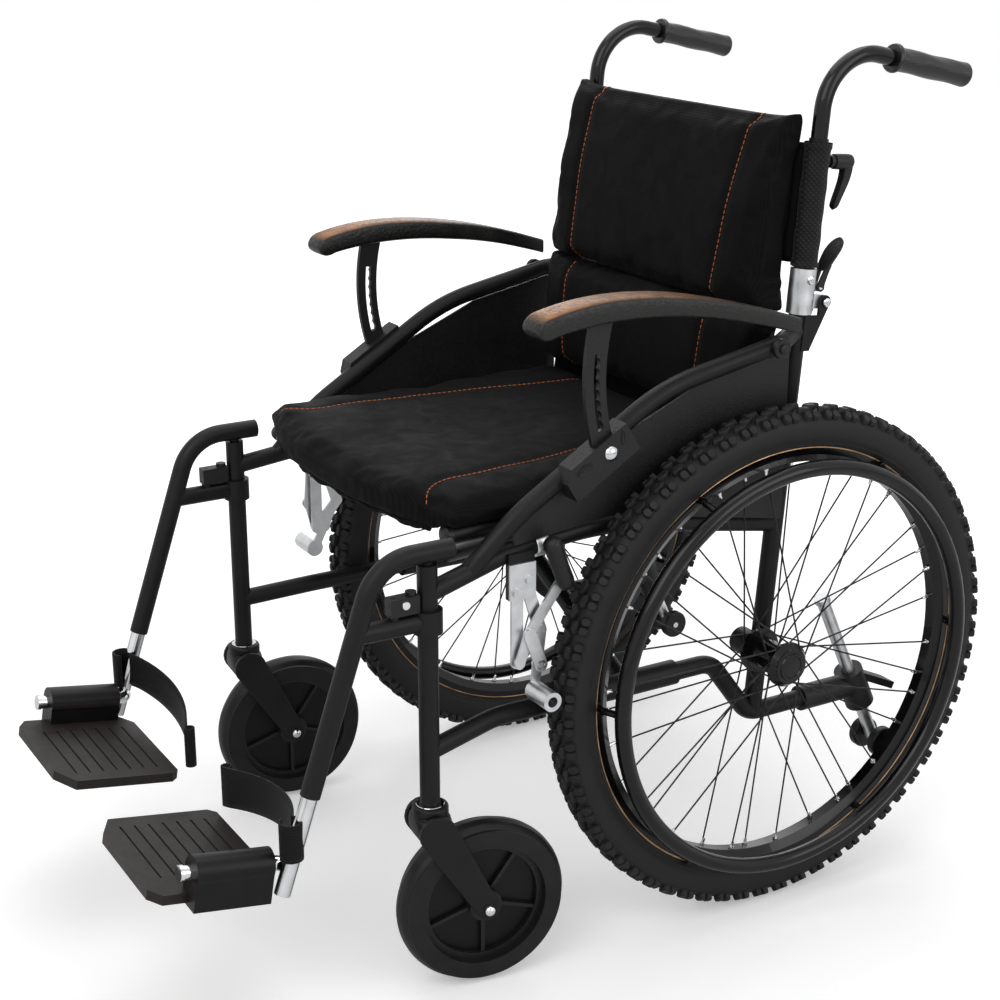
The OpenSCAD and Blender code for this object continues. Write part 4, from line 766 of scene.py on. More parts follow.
PARTS_OF = {
    "coat": ("side_frame", "castor_fork", "brace", "back_cane", "hanger"),
    "plastic": ("side_panel", "antitip_sleeve", "castor_wheel", "legrest_latch", "release_paddle",
                "clamp_lever"),
    "alloy": ("antitip_leg", "brake", "back_hinge"),
    "enamel": ("rim", "hub", "handrim", "push_handle"),
    "castor": ("antitip_wheels",),
    "chrome": ("leg_tube",),
    "plate": ("footplate",),
    "grip": ("grip",),
    "tread": ("tyre",),
    "webbing": ("heel_strap",),
    "pad": ("armrest",),
    "seat": ("seat_cushion",),
    "back": ("back_upper", "back_lower"),
}
FINISH_OF = {part: finish for finish, parts in PARTS_OF.items() for part in parts}
ROUNDED = {"side_panel": 1.2, "footplate": 1.6, "legrest_latch": 1.2, "brake": 0.6}
ROUNDED_ANGLE = math.radians(40)
BLOCK_X, BLOCK_Y = 220.4, (-714, -627.5)


class CHAIR_OT_finishes(bpy.types.Operator):
    """Gives every solid of the model its real finish"""
    bl_idname = "chair.finishes"
    bl_label = "Finishes"

    def execute(self, context):
        make_finishes(context.scene.chair_colours)
        for name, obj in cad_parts.items():
            part = name.split("_", 1)[1] if name.startswith(("left_", "right_")) else name
            keys = [key for key in FINISH_OF if part.startswith(key)]
            if not keys:
                raise RuntimeError(f"no finish for {name}")
            key = max(keys, key=len)
            dress(obj, FINISH_OF[key], 32)
            if key in ROUNDED:
                soft = obj.modifiers.new("soft_edges", "BEVEL")
                soft.width, soft.segments, soft.limit_method = ROUNDED[key] * MM, 3, "ANGLE"
                soft.angle_limit = ROUNDED_ANGLE
                soft.harden_normals = True
            if key == "footplate":
                self.darken_block(obj)
        return {"FINISHED"}

    def darken_block(self, plate):
        """Gives the hinge block of a footplate its own smoother finish."""
        plate.data.materials.append(FINISH["block"])
        for face in plate.data.polygons:
            x, y = abs(face.center.x) / MM, face.center.y / MM - AXLE_Y
            if x > BLOCK_X and BLOCK_Y[0] < y < BLOCK_Y[1]:
                face.material_index = 1


# Rear wheels

TYRE_HALF = [  # distance from the tyre's middle and radius, from the rim's edge to the crown
    (14.3, 259.2), (17.4, 260.4), (19.0, 263.0), (20.2, 263.8), (20.3, 265.6), (21.2, 267.0), (22.5, 272.0),
    (23.0, 278.0), (22.8, 283.0), (21.8, 288.5), (19.8, 292.6), (16.0, 295.8), (9.0, 298.2), (0.0, 299.0)]
CROWN_R = 290
LUG_ROWS = (  # distance from the tyre's middle, half length, half width and share of a step ahead
    (0.0, 8.2, 3.6, 0.0), (8.6, 7.4, 3.5, 0.5), (-8.6, 7.4, 3.5, 0.5),
    (17.2, 4.7, 5.0, 0.17), (17.2, 4.7, 5.0, 0.53), (-17.2, 4.7, 5.0, 0.17), (-17.2, 4.7, 5.0, 0.53))
LUG_RINGS = ((1.12, -0.3), (1.0, 0.78), (0.82, 1.0))
LUG_OUTLINE = ((1, 0.35), (0.62, 1), (-0.62, 1), (-1, 0.35), (-1, -0.35), (-0.62, -1), (0.62, -1), (1, -0.35))
TYRE_STEPS = 160


def wheel_centre(s):
    return at(WHEEL_X * s, 0, WHEEL_R)


def crown(offset):
    """Radius of the tyre's crown at a distance from its middle, and the slope there."""
    outline = sorted((o, r) for o, r in TYRE_HALF if r > CROWN_R)
    o = abs(offset)
    for (a, ra), (b, rb) in zip(outline, outline[1:]):
        if a <= o <= b:
            share = (o - a) / (b - a)
            return ra + (rb - ra) * share, (rb - ra) / (b - a) * (1 if offset >= 0 else -1)
    raise RuntimeError("a row of lugs lies off the crown")


class CHAIR_OT_tyres(bpy.types.Operator):
    """Makes the lugged rear tyres"""
    bl_idname = "chair.tyres"
    bl_label = "Rear tyres"

    def execute(self, context):
        sizes = context.scene.chair_sizes
        outline = TYRE_HALF + [(-o, r) for o, r in reversed(TYRE_HALF[:-1])]
        for side, s in SIDES:
            form, centre = Form(), wheel_centre(s)
            form.turn([(r, o) for o, r in outline], centre, X_AXIS, TYRE_STEPS)
            for row in LUG_ROWS:
                self.lugs(form, centre, sizes, *row)
            tyre = form.piece(f"{side}_lugged_tyre", "tread", f"{side}_wheel", "tyre_rubber")
            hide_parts(f"{side}_tyre")
        return {"FINISHED"}

    def lugs(self, form, centre, sizes, offset, long, wide, phase):
        """One row of lugs round a tyre, standing square on its crown."""
        radius, slope = crown(offset)
        for i in range(sizes.lug_count):
            a = math.tau * (i + phase) / sizes.lug_count
            out = Vector((0, math.cos(a), math.sin(a)))
            around = Vector((0, -math.sin(a), math.cos(a)))
            normal = (out - X_AXIS * slope).normalized()
            across = around.cross(normal)
            foot = centre + (out * radius + X_AXIS * offset) * MM
            rings = []
            for share, rise in LUG_RINGS:
                head = foot + normal * rise * sizes.lug_height
                rings.append([head + (around * u * long + across * v * wide) * share * MM
                              for u, v in LUG_OUTLINE])
            form.skin(rings)


SPOKE_REACH = 0.2375
SPOKE_APART = 0.03
NIPPLE = [(0.0, 9.0), (1.7, 8.6), (2.0, 3.0), (2.9, 2.6), (3.0, 0.3), (0.0, 0.0)]
RIM_LINE_X, RIM_LINE_R, RIM_LINE = 14.1, 258.2, 0.9
HUB_CAP_X = 30
HUB_CAP = [(21.4, -2.0), (21.4, 0.6), (20.4, 1.6), (17.0, 1.9), (16.2, 3.4), (13.4, 3.6), (12.4, 2.2),
           (8.0, 2.6), (0.0, 2.9)]
HUB_R = 0.0285


def spoke_ends(side):
    """Where each spoke of a hub ends, found from the hub's own points."""
    points = points_of(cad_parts[f"{side}_hub"].data)
    centre = np.array(wheel_centre(0))
    y, z = points[:, 1] - centre[1], points[:, 2] - centre[2]
    outer = np.hypot(y, z) > SPOKE_REACH
    angles, chosen = np.arctan2(z, y)[outer], points[outer]
    groups, last = [], None
    for i in np.argsort(angles):
        if last is None or angles[i] - last > SPOKE_APART:
            groups.append([])
        groups[-1].append(chosen[i])
        last = angles[i]
    return [Vector(np.mean(g, axis=0)) for g in groups]


class CHAIR_OT_wheel_fittings(bpy.types.Operator):
    """Adds the spoke nipples, the rim's bright line and the hub caps, and darkens the spokes"""
    bl_idname = "chair.wheel_fittings"
    bl_label = "Wheel fittings"

    def execute(self, context):
        for side, s in SIDES:
            body, centre = f"{side}_wheel", wheel_centre(s)
            nipples = Form()
            for tip in spoke_ends(side):
                inward = centre - tip
                inward.x = 0
                nipples.turn(NIPPLE, tip, inward, 10)
            nipples.piece(f"{side}_spoke_nipples", "chrome", body, "bright")
            line = Form()
            for end in (-1, 1):
                middle = centre + X_AXIS * end * RIM_LINE_X * MM
                ring = [middle + (Y_AXIS * math.cos(a) + Z_AXIS * math.sin(a)) * RIM_LINE_R * MM
                        for a in turns(144)]
                line.tube(ring, RIM_LINE * MM, sides=6, closed=True)
            line.piece(f"{side}_rim_line", "line", body, "bright")
            face = centre + X_AXIS * HUB_CAP_X * s * MM
            turned(f"{side}_hub_cap", HUB_CAP, face, X_AXIS * s, "enamel", body, "gloss_coat", 64)
            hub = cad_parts[f"{side}_hub"].data
            hub.materials.append(FINISH["spoke"])
            for polygon in hub.polygons:
                reach = polygon.center - centre
                if math.hypot(reach.y, reach.z) > HUB_R:
                    polygon.material_index = 1
        return {"FINISHED"}


# Castors

CASTORS = (("left", 255, (263.9, -389.7, 97), -9.0), ("right", -255, (-249.0, -389.3, 97), -6.0))
STEM_Y = -446
RIBS = (-8.6, 0.0, 8.6)
RIB = ((-3.7, -0.6), (-3.3, 0.5), (-2.4, 0.8), (2.4, 0.8), (3.3, 0.5), (3.7, -0.6))
TREAD_R, TREAD_ROUND, RIB_SUNK = 78, 19, 0.6
CASTOR_TYRE_R, POCKET_SHADE_DEPTH = 0.0712, 0.0035
CASTOR_BOLT_X = 31.4
CASTOR_BOLT = [(0.0, 4.6), (3.0, 4.2), (5.4, 2.6), (6.4, 0.6), (6.4, -2.0), (0.0, -2.0)]
FORK_CAP = [(0.0, 207.0), (18.6, 207.0), (19.6, 208.0), (20.0, 209.0), (20.0, 213.0), (19.3, 213.8),
            (19.3, 215.0), (20.0, 215.8), (20.0, 221.6), (19.2, 223.2), (17.4, 224.2), (0.0, 224.4)]
FORK_CROWN = (  # height, half width and half depth
    (192.0, 26.0, 17.5), (193.0, 27.6, 19.4), (196.0, 28.4, 20.6), (203.0, 28.0, 20.8), (208.0, 26.0, 20.4),
    (211.5, 22.8, 19.8), (213.0, 19.4, 19.0))
FORK_WASHER = [(11.6, 224.3), (15.2, 224.3), (15.6, 224.7), (15.6, 225.3), (15.2, 225.7), (11.6, 225.7)]
FORK_AXLE = [(0.0, -24.0), (5.0, -24.0), (5.0, 24.0), (0.0, 24.0)]
BLADE_X, BLADE_HALF = 25.5, 3
BLADE_HEAD, BLADE_FOOT = Vector((0.0, 199.0)), Vector((57.0, 97.0))
BLADE_HEAD_R, BLADE_TAPER = 21, 8
BLADE_STEPS = (-20.4, -19, -16, -11, -5, 0, 8, 20, 40, 60, 80, 100)
BLADE_TIP_STEPS = (0, 4, 8, 11, 12.6)


class CHAIR_OT_castors(bpy.types.Operator):
    """Makes the castor forks and adds the ribbed treads and bright bolts"""
    bl_idname = "chair.castors"
    bl_label = "Castors"

    def execute(self, context):
        for side, stem_x, place, turn in CASTORS:
            way = Matrix.Rotation(math.radians(turn), 3, "Z")
            axis, centre = way @ X_AXIS, at(*place)
            ribs = Form()
            for middle in RIBS:
                profile = []
                for o, rise in RIB:
                    tread = TREAD_R + math.sqrt(TREAD_ROUND ** 2 - (middle + o) ** 2)
                    profile.append((tread + rise - RIB_SUNK, middle + o))
                ribs.turn(profile, centre, axis, 96)
            ribs.piece(f"{side}_castor_ribs", "castor", f"{side}_castor_wheel", "tyre_rubber")
            self.tyre_finish_and_pocket_shade(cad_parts[f"{side}_castor_wheel"].data, centre, axis)
            self.fork(f"{side}_castor_fork", side, at(stem_x, STEM_Y, 0), way)
            bolts = Form()
            for end in (-1, 1):
                bolts.turn(CASTOR_BOLT, centre + axis * (end * CASTOR_BOLT_X * MM), axis * end, 24)
            bolts.piece(f"{side}_castor_bolts", "chrome", f"{side}_castor_fork", "bright")
        return {"FINISHED"}

    def tyre_finish_and_pocket_shade(self, wheel, centre, axis):
        """Gives a castor wheel's tyre its own finish, and paints shade on the floor of its pockets with a
        near black finish.
        """
        wheel.materials.append(FINISH["castor"])
        # The near black nylon finish, here painted shade on the floor of the pockets
        wheel.materials.append(FINISH["block"])
        for polygon in wheel.polygons:
            reach = polygon.center - centre
            depth = reach.dot(axis)
            if (reach - axis * depth).length > CASTOR_TYRE_R:
                polygon.material_index = 1
            # Painted shade: the faces of the recessed web, the floor of the pockets, get the near black
            # finish
            elif abs(depth) < POCKET_SHADE_DEPTH:
                polygon.material_index = 2

    def fork(self, body, side, stem, way):
        """The smooth castor fork with its ringed cap, and the bright washer under the post."""

        def place(x, y, z):
            return stem + way @ Vector((x, y, z)) * MM

        fork = Form().turn(FORK_CAP, stem, Z_AXIS, 64)
        fork.skin([[place(wide * a, deep * b, z) for a, b in squircle(48, 0.62)]
                   for z, wide, deep in FORK_CROWN])
        run = (BLADE_FOOT - BLADE_HEAD).length
        down = (BLADE_FOOT - BLADE_HEAD) / run
        for x in (-BLADE_X, BLADE_X):
            rings = []
            for d in (*BLADE_STEPS, *(run + past for past in BLADE_TIP_STEPS)):
                half = BLADE_HEAD_R - BLADE_TAPER * min(max(d, 0.0), run) / run
                half = math.sqrt(half ** 2 - max(-d, d - run, 0.0) ** 2)
                spot = BLADE_HEAD + down * d
                across, up = -down.y * half, down.x * half
                rings.append([place(x + BLADE_HALF * a, spot.x + across * b, spot.y + up * b)
                              for a, b in squircle(32, 0.35)])
            fork.skin(rings)
        fork.turn(FORK_AXLE, place(0, *BLADE_FOOT), way @ X_AXIS, 24)
        fork = fork.piece(f"{side}_smooth_fork", "coat", body, "frame_coat", 40)
        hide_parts(body)
        turned(f"{side}_fork_washer", FORK_WASHER, stem, Z_AXIS, "chrome", body, "bright", closed=True)


# Seat

SEAT_FLOOR = 520.3
SEAT_LIP, LIP_DROP = -403.0, 16
SEAT_SEAM = ((112, -12), (128, -110), (150, -218), (160, -315), (165, -370))
SEAM_HOOK = ((165, -370), (169, -402), (196, -414))
SEAT_INSET = ((5, 5, 5), (5, 5, 5))
SEAT_VOXEL, BACK_VOXEL = 0.006, 0.0055
HEM_X, HEM_Y, HEM_DROP = 206, -460, 6
HEM_WAVE, HEM_WAVE_LONG = 1.4 * MM, 9 * MM


def seat_lines():
    """The two stitched lines of the seat, from its back edge to its front lip."""
    line = [*SEAT_SEAM, *bezier(*SEAM_HOOK, 8)[1:]]
    return [[at(x * s, y, 0) for x, y in line] for s in (1, -1)]


def seat_wrinkles(x, y):
    """Height of the cover's wrinkles, in millimetres: along its sides, along its front and all over."""
    sides = 1.3 * np.sin(y / 13 + 1.7 * np.sin(x / 41)) * np.exp(-((np.abs(x) - 196) / 34) ** 2)
    front = 1.2 * np.sin(x / 17 + 2.1 * np.sin(y / 60)) * np.exp(-((y + 420) / 38) ** 2)
    return sides + front + 0.9 * np.sin((x + y) / 47) * np.sin((x - y) / 59)


class CHAIR_OT_seat(bpy.types.Operator):
    """Makes the seat cushion with its stitching and piping"""
    bl_idname = "chair.seat"
    bl_label = "Seat"

    def execute(self, context):
        sizes = context.scene.chair_sizes
        seat = stuffed("seat_cushion", "seat_pad", SEAT_INSET, SEAT_VOXEL, sizes.seat_swell, 0.0, (0, 1))
        for path in seat_lines():
            sewn(seat, path, (0, 1), (0, 0, 1), 0.009, 0.0024)
        points = points_of(seat.data)
        x, y, z = points[:, 0] / MM, points[:, 1] / MM - AXLE_Y, points[:, 2] / MM
        top = np.clip((z - SEAT_FLOOR - 14) / 10, 0, 1)
        points[:, 2] += seat_wrinkles(x, y) * top * MM
        floor = np.where(y < SEAT_LIP, SEAT_FLOOR - LIP_DROP, SEAT_FLOOR) * MM
        points[:, 2] = np.maximum(points[:, 2], floor)
        set_points(seat.data, points)
        dress(seat, "seat", 60)
        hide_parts("seat_cushion")
        pieces = [seat, *self.trim(seat, sizes)]
        for piece in pieces:
            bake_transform(piece)
        return {"FINISHED"}

    def trim(self, seat, sizes):
        """The two lines of stitches and the piping under the front edge."""
        surface = surface_of(seat)
        for (side, s), path in zip(SIDES, seat_lines()):
            above = [p + Z_AXIS * SEAT_FLOOR * MM for p in path]
            line = laid(surface, above, -Z_AXIS, sizes.thread * STITCH_LIFT)
            yield stitched(f"{side}_seat_stitches", line, None, sizes)
        edge = [at(x, HEM_Y, SEAT_FLOOR - HEM_DROP) for x in range(-HEM_X, HEM_X + 1, 4)]
        hem = even(laid(surface, edge, Y_AXIS, sizes.piping * 0.3), 0.004)
        hem = [p + Z_AXIS * HEM_WAVE * math.sin(p.x / HEM_WAVE_LONG) for p in hem]
        yield Form().tube(hem, sizes.piping, sides=10).piece("seat_piping", "seat", None, "cloth")


# Back

BACK_PADS = (  # node, piece, body, lowest and highest point up the back, and how far it is drawn in at first
    ("back_upper", "upper_back_pad", "left_back", 0.4, 222, ((4, 4, 0), (4, 2, 4))),
    ("back_lower", "lower_back_pad", "left_frame", -140, -0.4, ((4, 4, 2), (4, 2, 0))))
BACK_SEAM_X, BACK_SEAM_SPLAY = 148, 0.05
COLUMN_FIRST, COLUMN_WIDE, COLUMNS = -224, 8, 56
PARTED_REACH = 45
FLAP_HALF = 236
FLAP_DROP = [(21.0, 574), (19.0, 560), (16.5, 545), (15.0, 530), (14.5, 512)]
COVER_THICK = 1.4


def parted(points, low, high):
    """Keeps a back cushion's points on its own side of the line where the back folds."""
    up = np.array((0.0, math.sin(BACK_LEAN), math.cos(BACK_LEAN)))
    height = (points - np.array(on_back(0, 0, 0))) @ up / MM
    way, edge = (1, low) if high > 0 else (-1, high)
    rise = (height - edge) * way
    x = points[:, 0] / MM
    column = np.clip((x - COLUMN_FIRST) / COLUMN_WIDE, 0, COLUMNS - 1).astype(int)
    foot = [rise[column == i].min() if (column == i).any() else 0.0 for i in range(COLUMNS)]
    drop = np.interp(x, (np.arange(COLUMNS) + 0.5) * COLUMN_WIDE + COLUMN_FIRST, foot)
    kept = np.maximum(rise - drop * np.clip(1 - (rise - drop) / PARTED_REACH, 0, 1), 0)
    return points + np.outer((kept - rise) * way * MM, up)


def back_wrinkles(x, z):
    """Depth of the cover's wrinkles, in millimetres: along its sides, along its top and all over."""
    sides = 1.2 * np.sin(z / 15 + 1.4 * np.sin(x / 52)) * np.exp(-((np.abs(x) - 190) / 30) ** 2)
    top = 1.4 * np.sin(x / 21 + 1.2 * np.sin(z / 30)) * np.exp(-((z - 915) / 26) ** 2)
    return sides + top + 0.9 * np.sin((x + z) / 53) * np.sin((x - z) / 61)


class CHAIR_OT_back(bpy.types.Operator):
    """Makes the two back cushions with their stitching, and the flap behind the seat"""
    bl_idname = "chair.back"
    bl_label = "Back"

    def execute(self, context):
        sizes = context.scene.chair_sizes
        for node, name, body, low, high, inset in BACK_PADS:
            pad = stuffed(node, name, inset, BACK_VOXEL, sizes.back_swell, BACK_LEAN, (0, 2))
            lines = [[on_back(s * (BACK_SEAM_X + z * BACK_SEAM_SPLAY), -40, z)
                      for z in np.linspace(low - 12, high + 12, 12)] for _, s in SIDES]
            for path in lines:
                sewn(pad, path, (0, 2), (0, -1, 0), 0.006, 0.003)
            points = points_of(pad.data)
            front = np.clip(-normals_of(pad.data)[:, 1] * 2, 0, 1)
            points[:, 1] += back_wrinkles(points[:, 0] / MM, points[:, 2] / MM) * front * MM
            set_points(pad.data, parted(points, low, high))
            dress(pad, "back", 60)
            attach(pad, body)
            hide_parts(node)
            pieces = [pad]
            surface = surface_of(pad)
            for (side, s), path in zip(SIDES, lines):
                line = laid(surface, path, Y_AXIS, sizes.thread * STITCH_LIFT)
                if high > 0:
                    over = [on_back(path[-1].x / MM, y, high) for y in (-34, -20)]
                    line += laid(surface, over, -Z_AXIS, sizes.thread * STITCH_LIFT)
                pieces.append(stitched(f"{side}_{name}_stitches", line, body, sizes))
            if high < 0:
                pieces.append(self.flap())
            for piece in pieces:
                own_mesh(piece)
        return {"FINISHED"}

    def flap(self):
        """The cloth that hangs from the lower cushion behind the seat."""
        rings = [[at(x, y + 1.5 * math.sin(x / 37), z) for x in np.linspace(-FLAP_HALF, FLAP_HALF, 68)]
                 for y, z in FLAP_DROP]
        flap = Form().skin(rings, around=False, caps=False)
        flap = flap.piece("back_flap", "back", "left_frame", "cloth", 60)
        thicken(flap, COVER_THICK)
        return flap


# Arms

ARM_PIVOT = (-1, 673)
ARM_INNER, ARM_OUTER, ARM_NOTCH = 242, 280, 21
ARM_NOTCH_END, ARM_NOTCH_TAPER = -132, 78
ARM_TOP = ((16, 708), (-193, 781), (-316, 747))
ARM_UNDER = ((16, 690), (-172, 750), (-303, 724))
ARM_STEPS, NOSE_STEPS = 44, 16
NOSE_BULGE, NOSE_WAY = 17, (-0.9, -0.43)
STRUT_X, STRUT_R, SLOT_R = (263, 269), (237, 263), (246.4, 252.4)
STRUT_ENDS, SLOT_ENDS = (-19, 14), (-13.5, 6)
STRUT_STEPS, SCALLOP, SCALLOP_STEPS = 99, 1.5, 8
CHEEK_X = 261.2
CHEEK = [(0.0, 0.0), (11.2, 0.0), (11.2, 5.2), (10.4, 6.0), (5.4, 6.0), (5.0, 8.2), (3.4, 9.0), (0.0, 9.2)]


def pad_slice(top, under, inner, outer, s):
    """One slice of an arm pad: a rounded box between a top and an under point, in millimetres."""
    (ty, tz), (uy, uz) = top, under
    x, half = (outer + inner) / 2 * s, (outer - inner) / 2
    return [at(x + half * a, (ty + uy) / 2 + (ty - uy) / 2 * b, (tz + uz) / 2 + (tz - uz) / 2 * b)
            for a, b in squircle(28, 0.42)]


class CHAIR_OT_arms(bpy.types.Operator):
    """Makes the arm pads and their slotted struts"""
    bl_idname = "chair.arms"
    bl_label = "Arms"

    def execute(self, context):
        for side, s in SIDES:
            body = f"{side}_armrest"
            pad = Form().skin(self.slices(s)).piece(f"{side}_arm_pad", "pad", body, "black_plastic", 60)
            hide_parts(f"{side}_armrest")
            self.strut(s).piece(f"{side}_arm_strut", "plastic", body, "black_plastic", 30)
            turned(f"{side}_arm_cheek", CHEEK, at(CHEEK_X * s, *ARM_PIVOT), X_AXIS * s, "plastic", body,
                   "black_plastic", 40)
        return {"FINISHED"}

    def slices(self, s):
        """Slices of an arm pad, from its pivot, where its inside is cut away, to its round nose."""
        middle, half = (ARM_INNER + ARM_OUTER) / 2, (ARM_OUTER - ARM_INNER) / 2
        rings = []
        for i, (top, under) in enumerate(zip(bezier(*ARM_TOP, ARM_STEPS), bezier(*ARM_UNDER, ARM_STEPS))):
            end = math.sqrt(min(1.0, (i + 1.2) / 4))
            inner = ARM_INNER + ARM_NOTCH * min(1.0, max(0.0, (under[0] - ARM_NOTCH_END) / ARM_NOTCH_TAPER))
            centre, reach = (ARM_OUTER + inner) / 2, (ARM_OUTER - inner) / 2 * end
            rings.append(pad_slice(top, under, centre - reach, centre + reach, s))
        for i in range(1, NOSE_STEPS // 2):
            share = math.sqrt(max(0.02, 1 - (i * 2 / NOSE_STEPS) ** 2.4))
            reach = half * (0.72 + 0.28 * share)
            top, under = self.nose(i), self.nose(NOSE_STEPS - i)
            rings.append(pad_slice(top, under, middle - reach, middle + reach, s))
        return rings

    def nose(self, i):
        """A point on the nose's outline, from the pad's top round to its underside."""
        turn = math.pi * i / NOSE_STEPS
        bulge = NOSE_BULGE * math.sin(turn) ** 0.85
        return [(top + under) / 2 + (top - under) / 2 * math.cos(turn) + way * bulge
                for top, under, way in zip(ARM_TOP[-1], ARM_UNDER[-1], NOSE_WAY)]

    def strut(self, s):
        """The curved strut with its scalloped slot, in thin slabs along its arc."""
        form, angles = Form(), np.radians(np.linspace(*STRUT_ENDS, STRUT_STEPS + 1))
        inner, outer = STRUT_R
        for i in range(STRUT_STEPS):
            spans = [(STRUT_R, STRUT_R)]
            if SLOT_ENDS[0] < math.degrees(angles[i]) < SLOT_ENDS[1]:
                edge = [SLOT_R[0] - SCALLOP * abs(math.sin(j / SCALLOP_STEPS * math.pi)) for j in (i, i + 1)]
                spans = [((inner, edge[0]), (inner, edge[1])), ((SLOT_R[1], outer), (SLOT_R[1], outer))]
            for (a, b), (c, d) in spans:
                corners = ((angles[i], a), (angles[i], b), (angles[i + 1], d), (angles[i + 1], c))
                form.skin([[at(x * s, ARM_PIVOT[0] - r * math.cos(t), ARM_PIVOT[1] + r * math.sin(t))
                            for t, r in corners] for x in STRUT_X])
        return form


# Heel straps

STRAP_LEG_X, STRAP_WRAP_R, STRAP_LEG_Y = 255.0, 11.9, 11.8
STRAP_FIRST, STRAP_LAST = 243, 57
STRAP_CHORD, STRAP_SAG, STRAP_CHORD_X, STRAP_Y = 203.0, 28.0, 52, -580
STRAP_ROLL, STRAP_ROLL_STEP = 5.6, 27
STRAP_Z, STRAP_DROOP, STRAP_DROOP_LONG = 226, 28, 180
STRAP_HALF, STRAP_SPREAD, STRAP_THICK = 21.5, 3, 2.2


class CHAIR_OT_straps(bpy.types.Operator):
    """Makes the webbing heel straps"""
    bl_idname = "chair.straps"
    bl_label = "Heel straps"

    def execute(self, context):
        for side, s in SIDES:
            path, rings = self.path(side), []
            for x, y in path:
                slack = min(1.0, max(0.0, (STRAP_FIRST - x) / STRAP_DROOP_LONG))
                z, half = STRAP_Z - STRAP_DROOP * slack, STRAP_HALF + STRAP_SPREAD * slack
                rings.append([at(x * s, y, z + half * h) for h in np.linspace(-1, 1, 6)])
            strap = Form().skin(rings, around=False, caps=False)
            strap = strap.piece(f"{side}_heel_webbing", "webbing", f"{side}_leg", "cloth", 50)
            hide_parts(f"{side}_heel_strap")
            thicken(strap, STRAP_THICK)
        return {"FINISHED"}

    def path(self, side):
        """A strap's way round the leg tube, in an arc behind the footplate and round its rolled end."""
        leg_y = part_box(f"{side}_heel_strap")[0].y / MM - AXLE_Y + STRAP_LEG_Y
        path = []
        for a in np.radians(np.linspace(-60, 240, 13)):
            path.append((STRAP_LEG_X + STRAP_WRAP_R * math.sin(a), leg_y - STRAP_WRAP_R * math.cos(a)))
        r = (STRAP_CHORD ** 2 / 4 + STRAP_SAG ** 2) / (2 * STRAP_SAG)
        middle = STRAP_CHORD_X + STRAP_CHORD / 2
        for x in np.linspace(STRAP_FIRST, STRAP_LAST, 25)[1:]:
            path.append((x, STRAP_Y - r + math.sqrt(r * r - (x - middle) ** 2)))
        x, y = path[-1]
        for i in range(1, 12):
            a = math.radians(STRAP_ROLL_STEP * i)
            path.append((x - STRAP_ROLL * math.sin(a), y + STRAP_ROLL * (1 - math.cos(a))))
        return path


# Push handles and canes

GRIP_DROP = math.radians(7.6)
GRIP_LONG, GRIP_REACH, GRIP_TOP = 118, 210, 299
GRIP_COLLAR, GRIP_FLARE, GRIP_TIP = 7, 92, 112
GRIP_RIDGE = 0.45
SLEEVE_FOOT, SLEEVE_LONG, SLEEVE_STEPS = 54, 138, 48
SLEEVE_HEM, SLEEVE_SLACK = 1.2 * MM, 0.5 * MM
WEB_ACROSS = [(213.4, -4.0), (210.0, -9.5), (204.0, -13.6), (196.0, -15.8), (186.0, -16.4)]
WEB_ENDS = (56, 190)


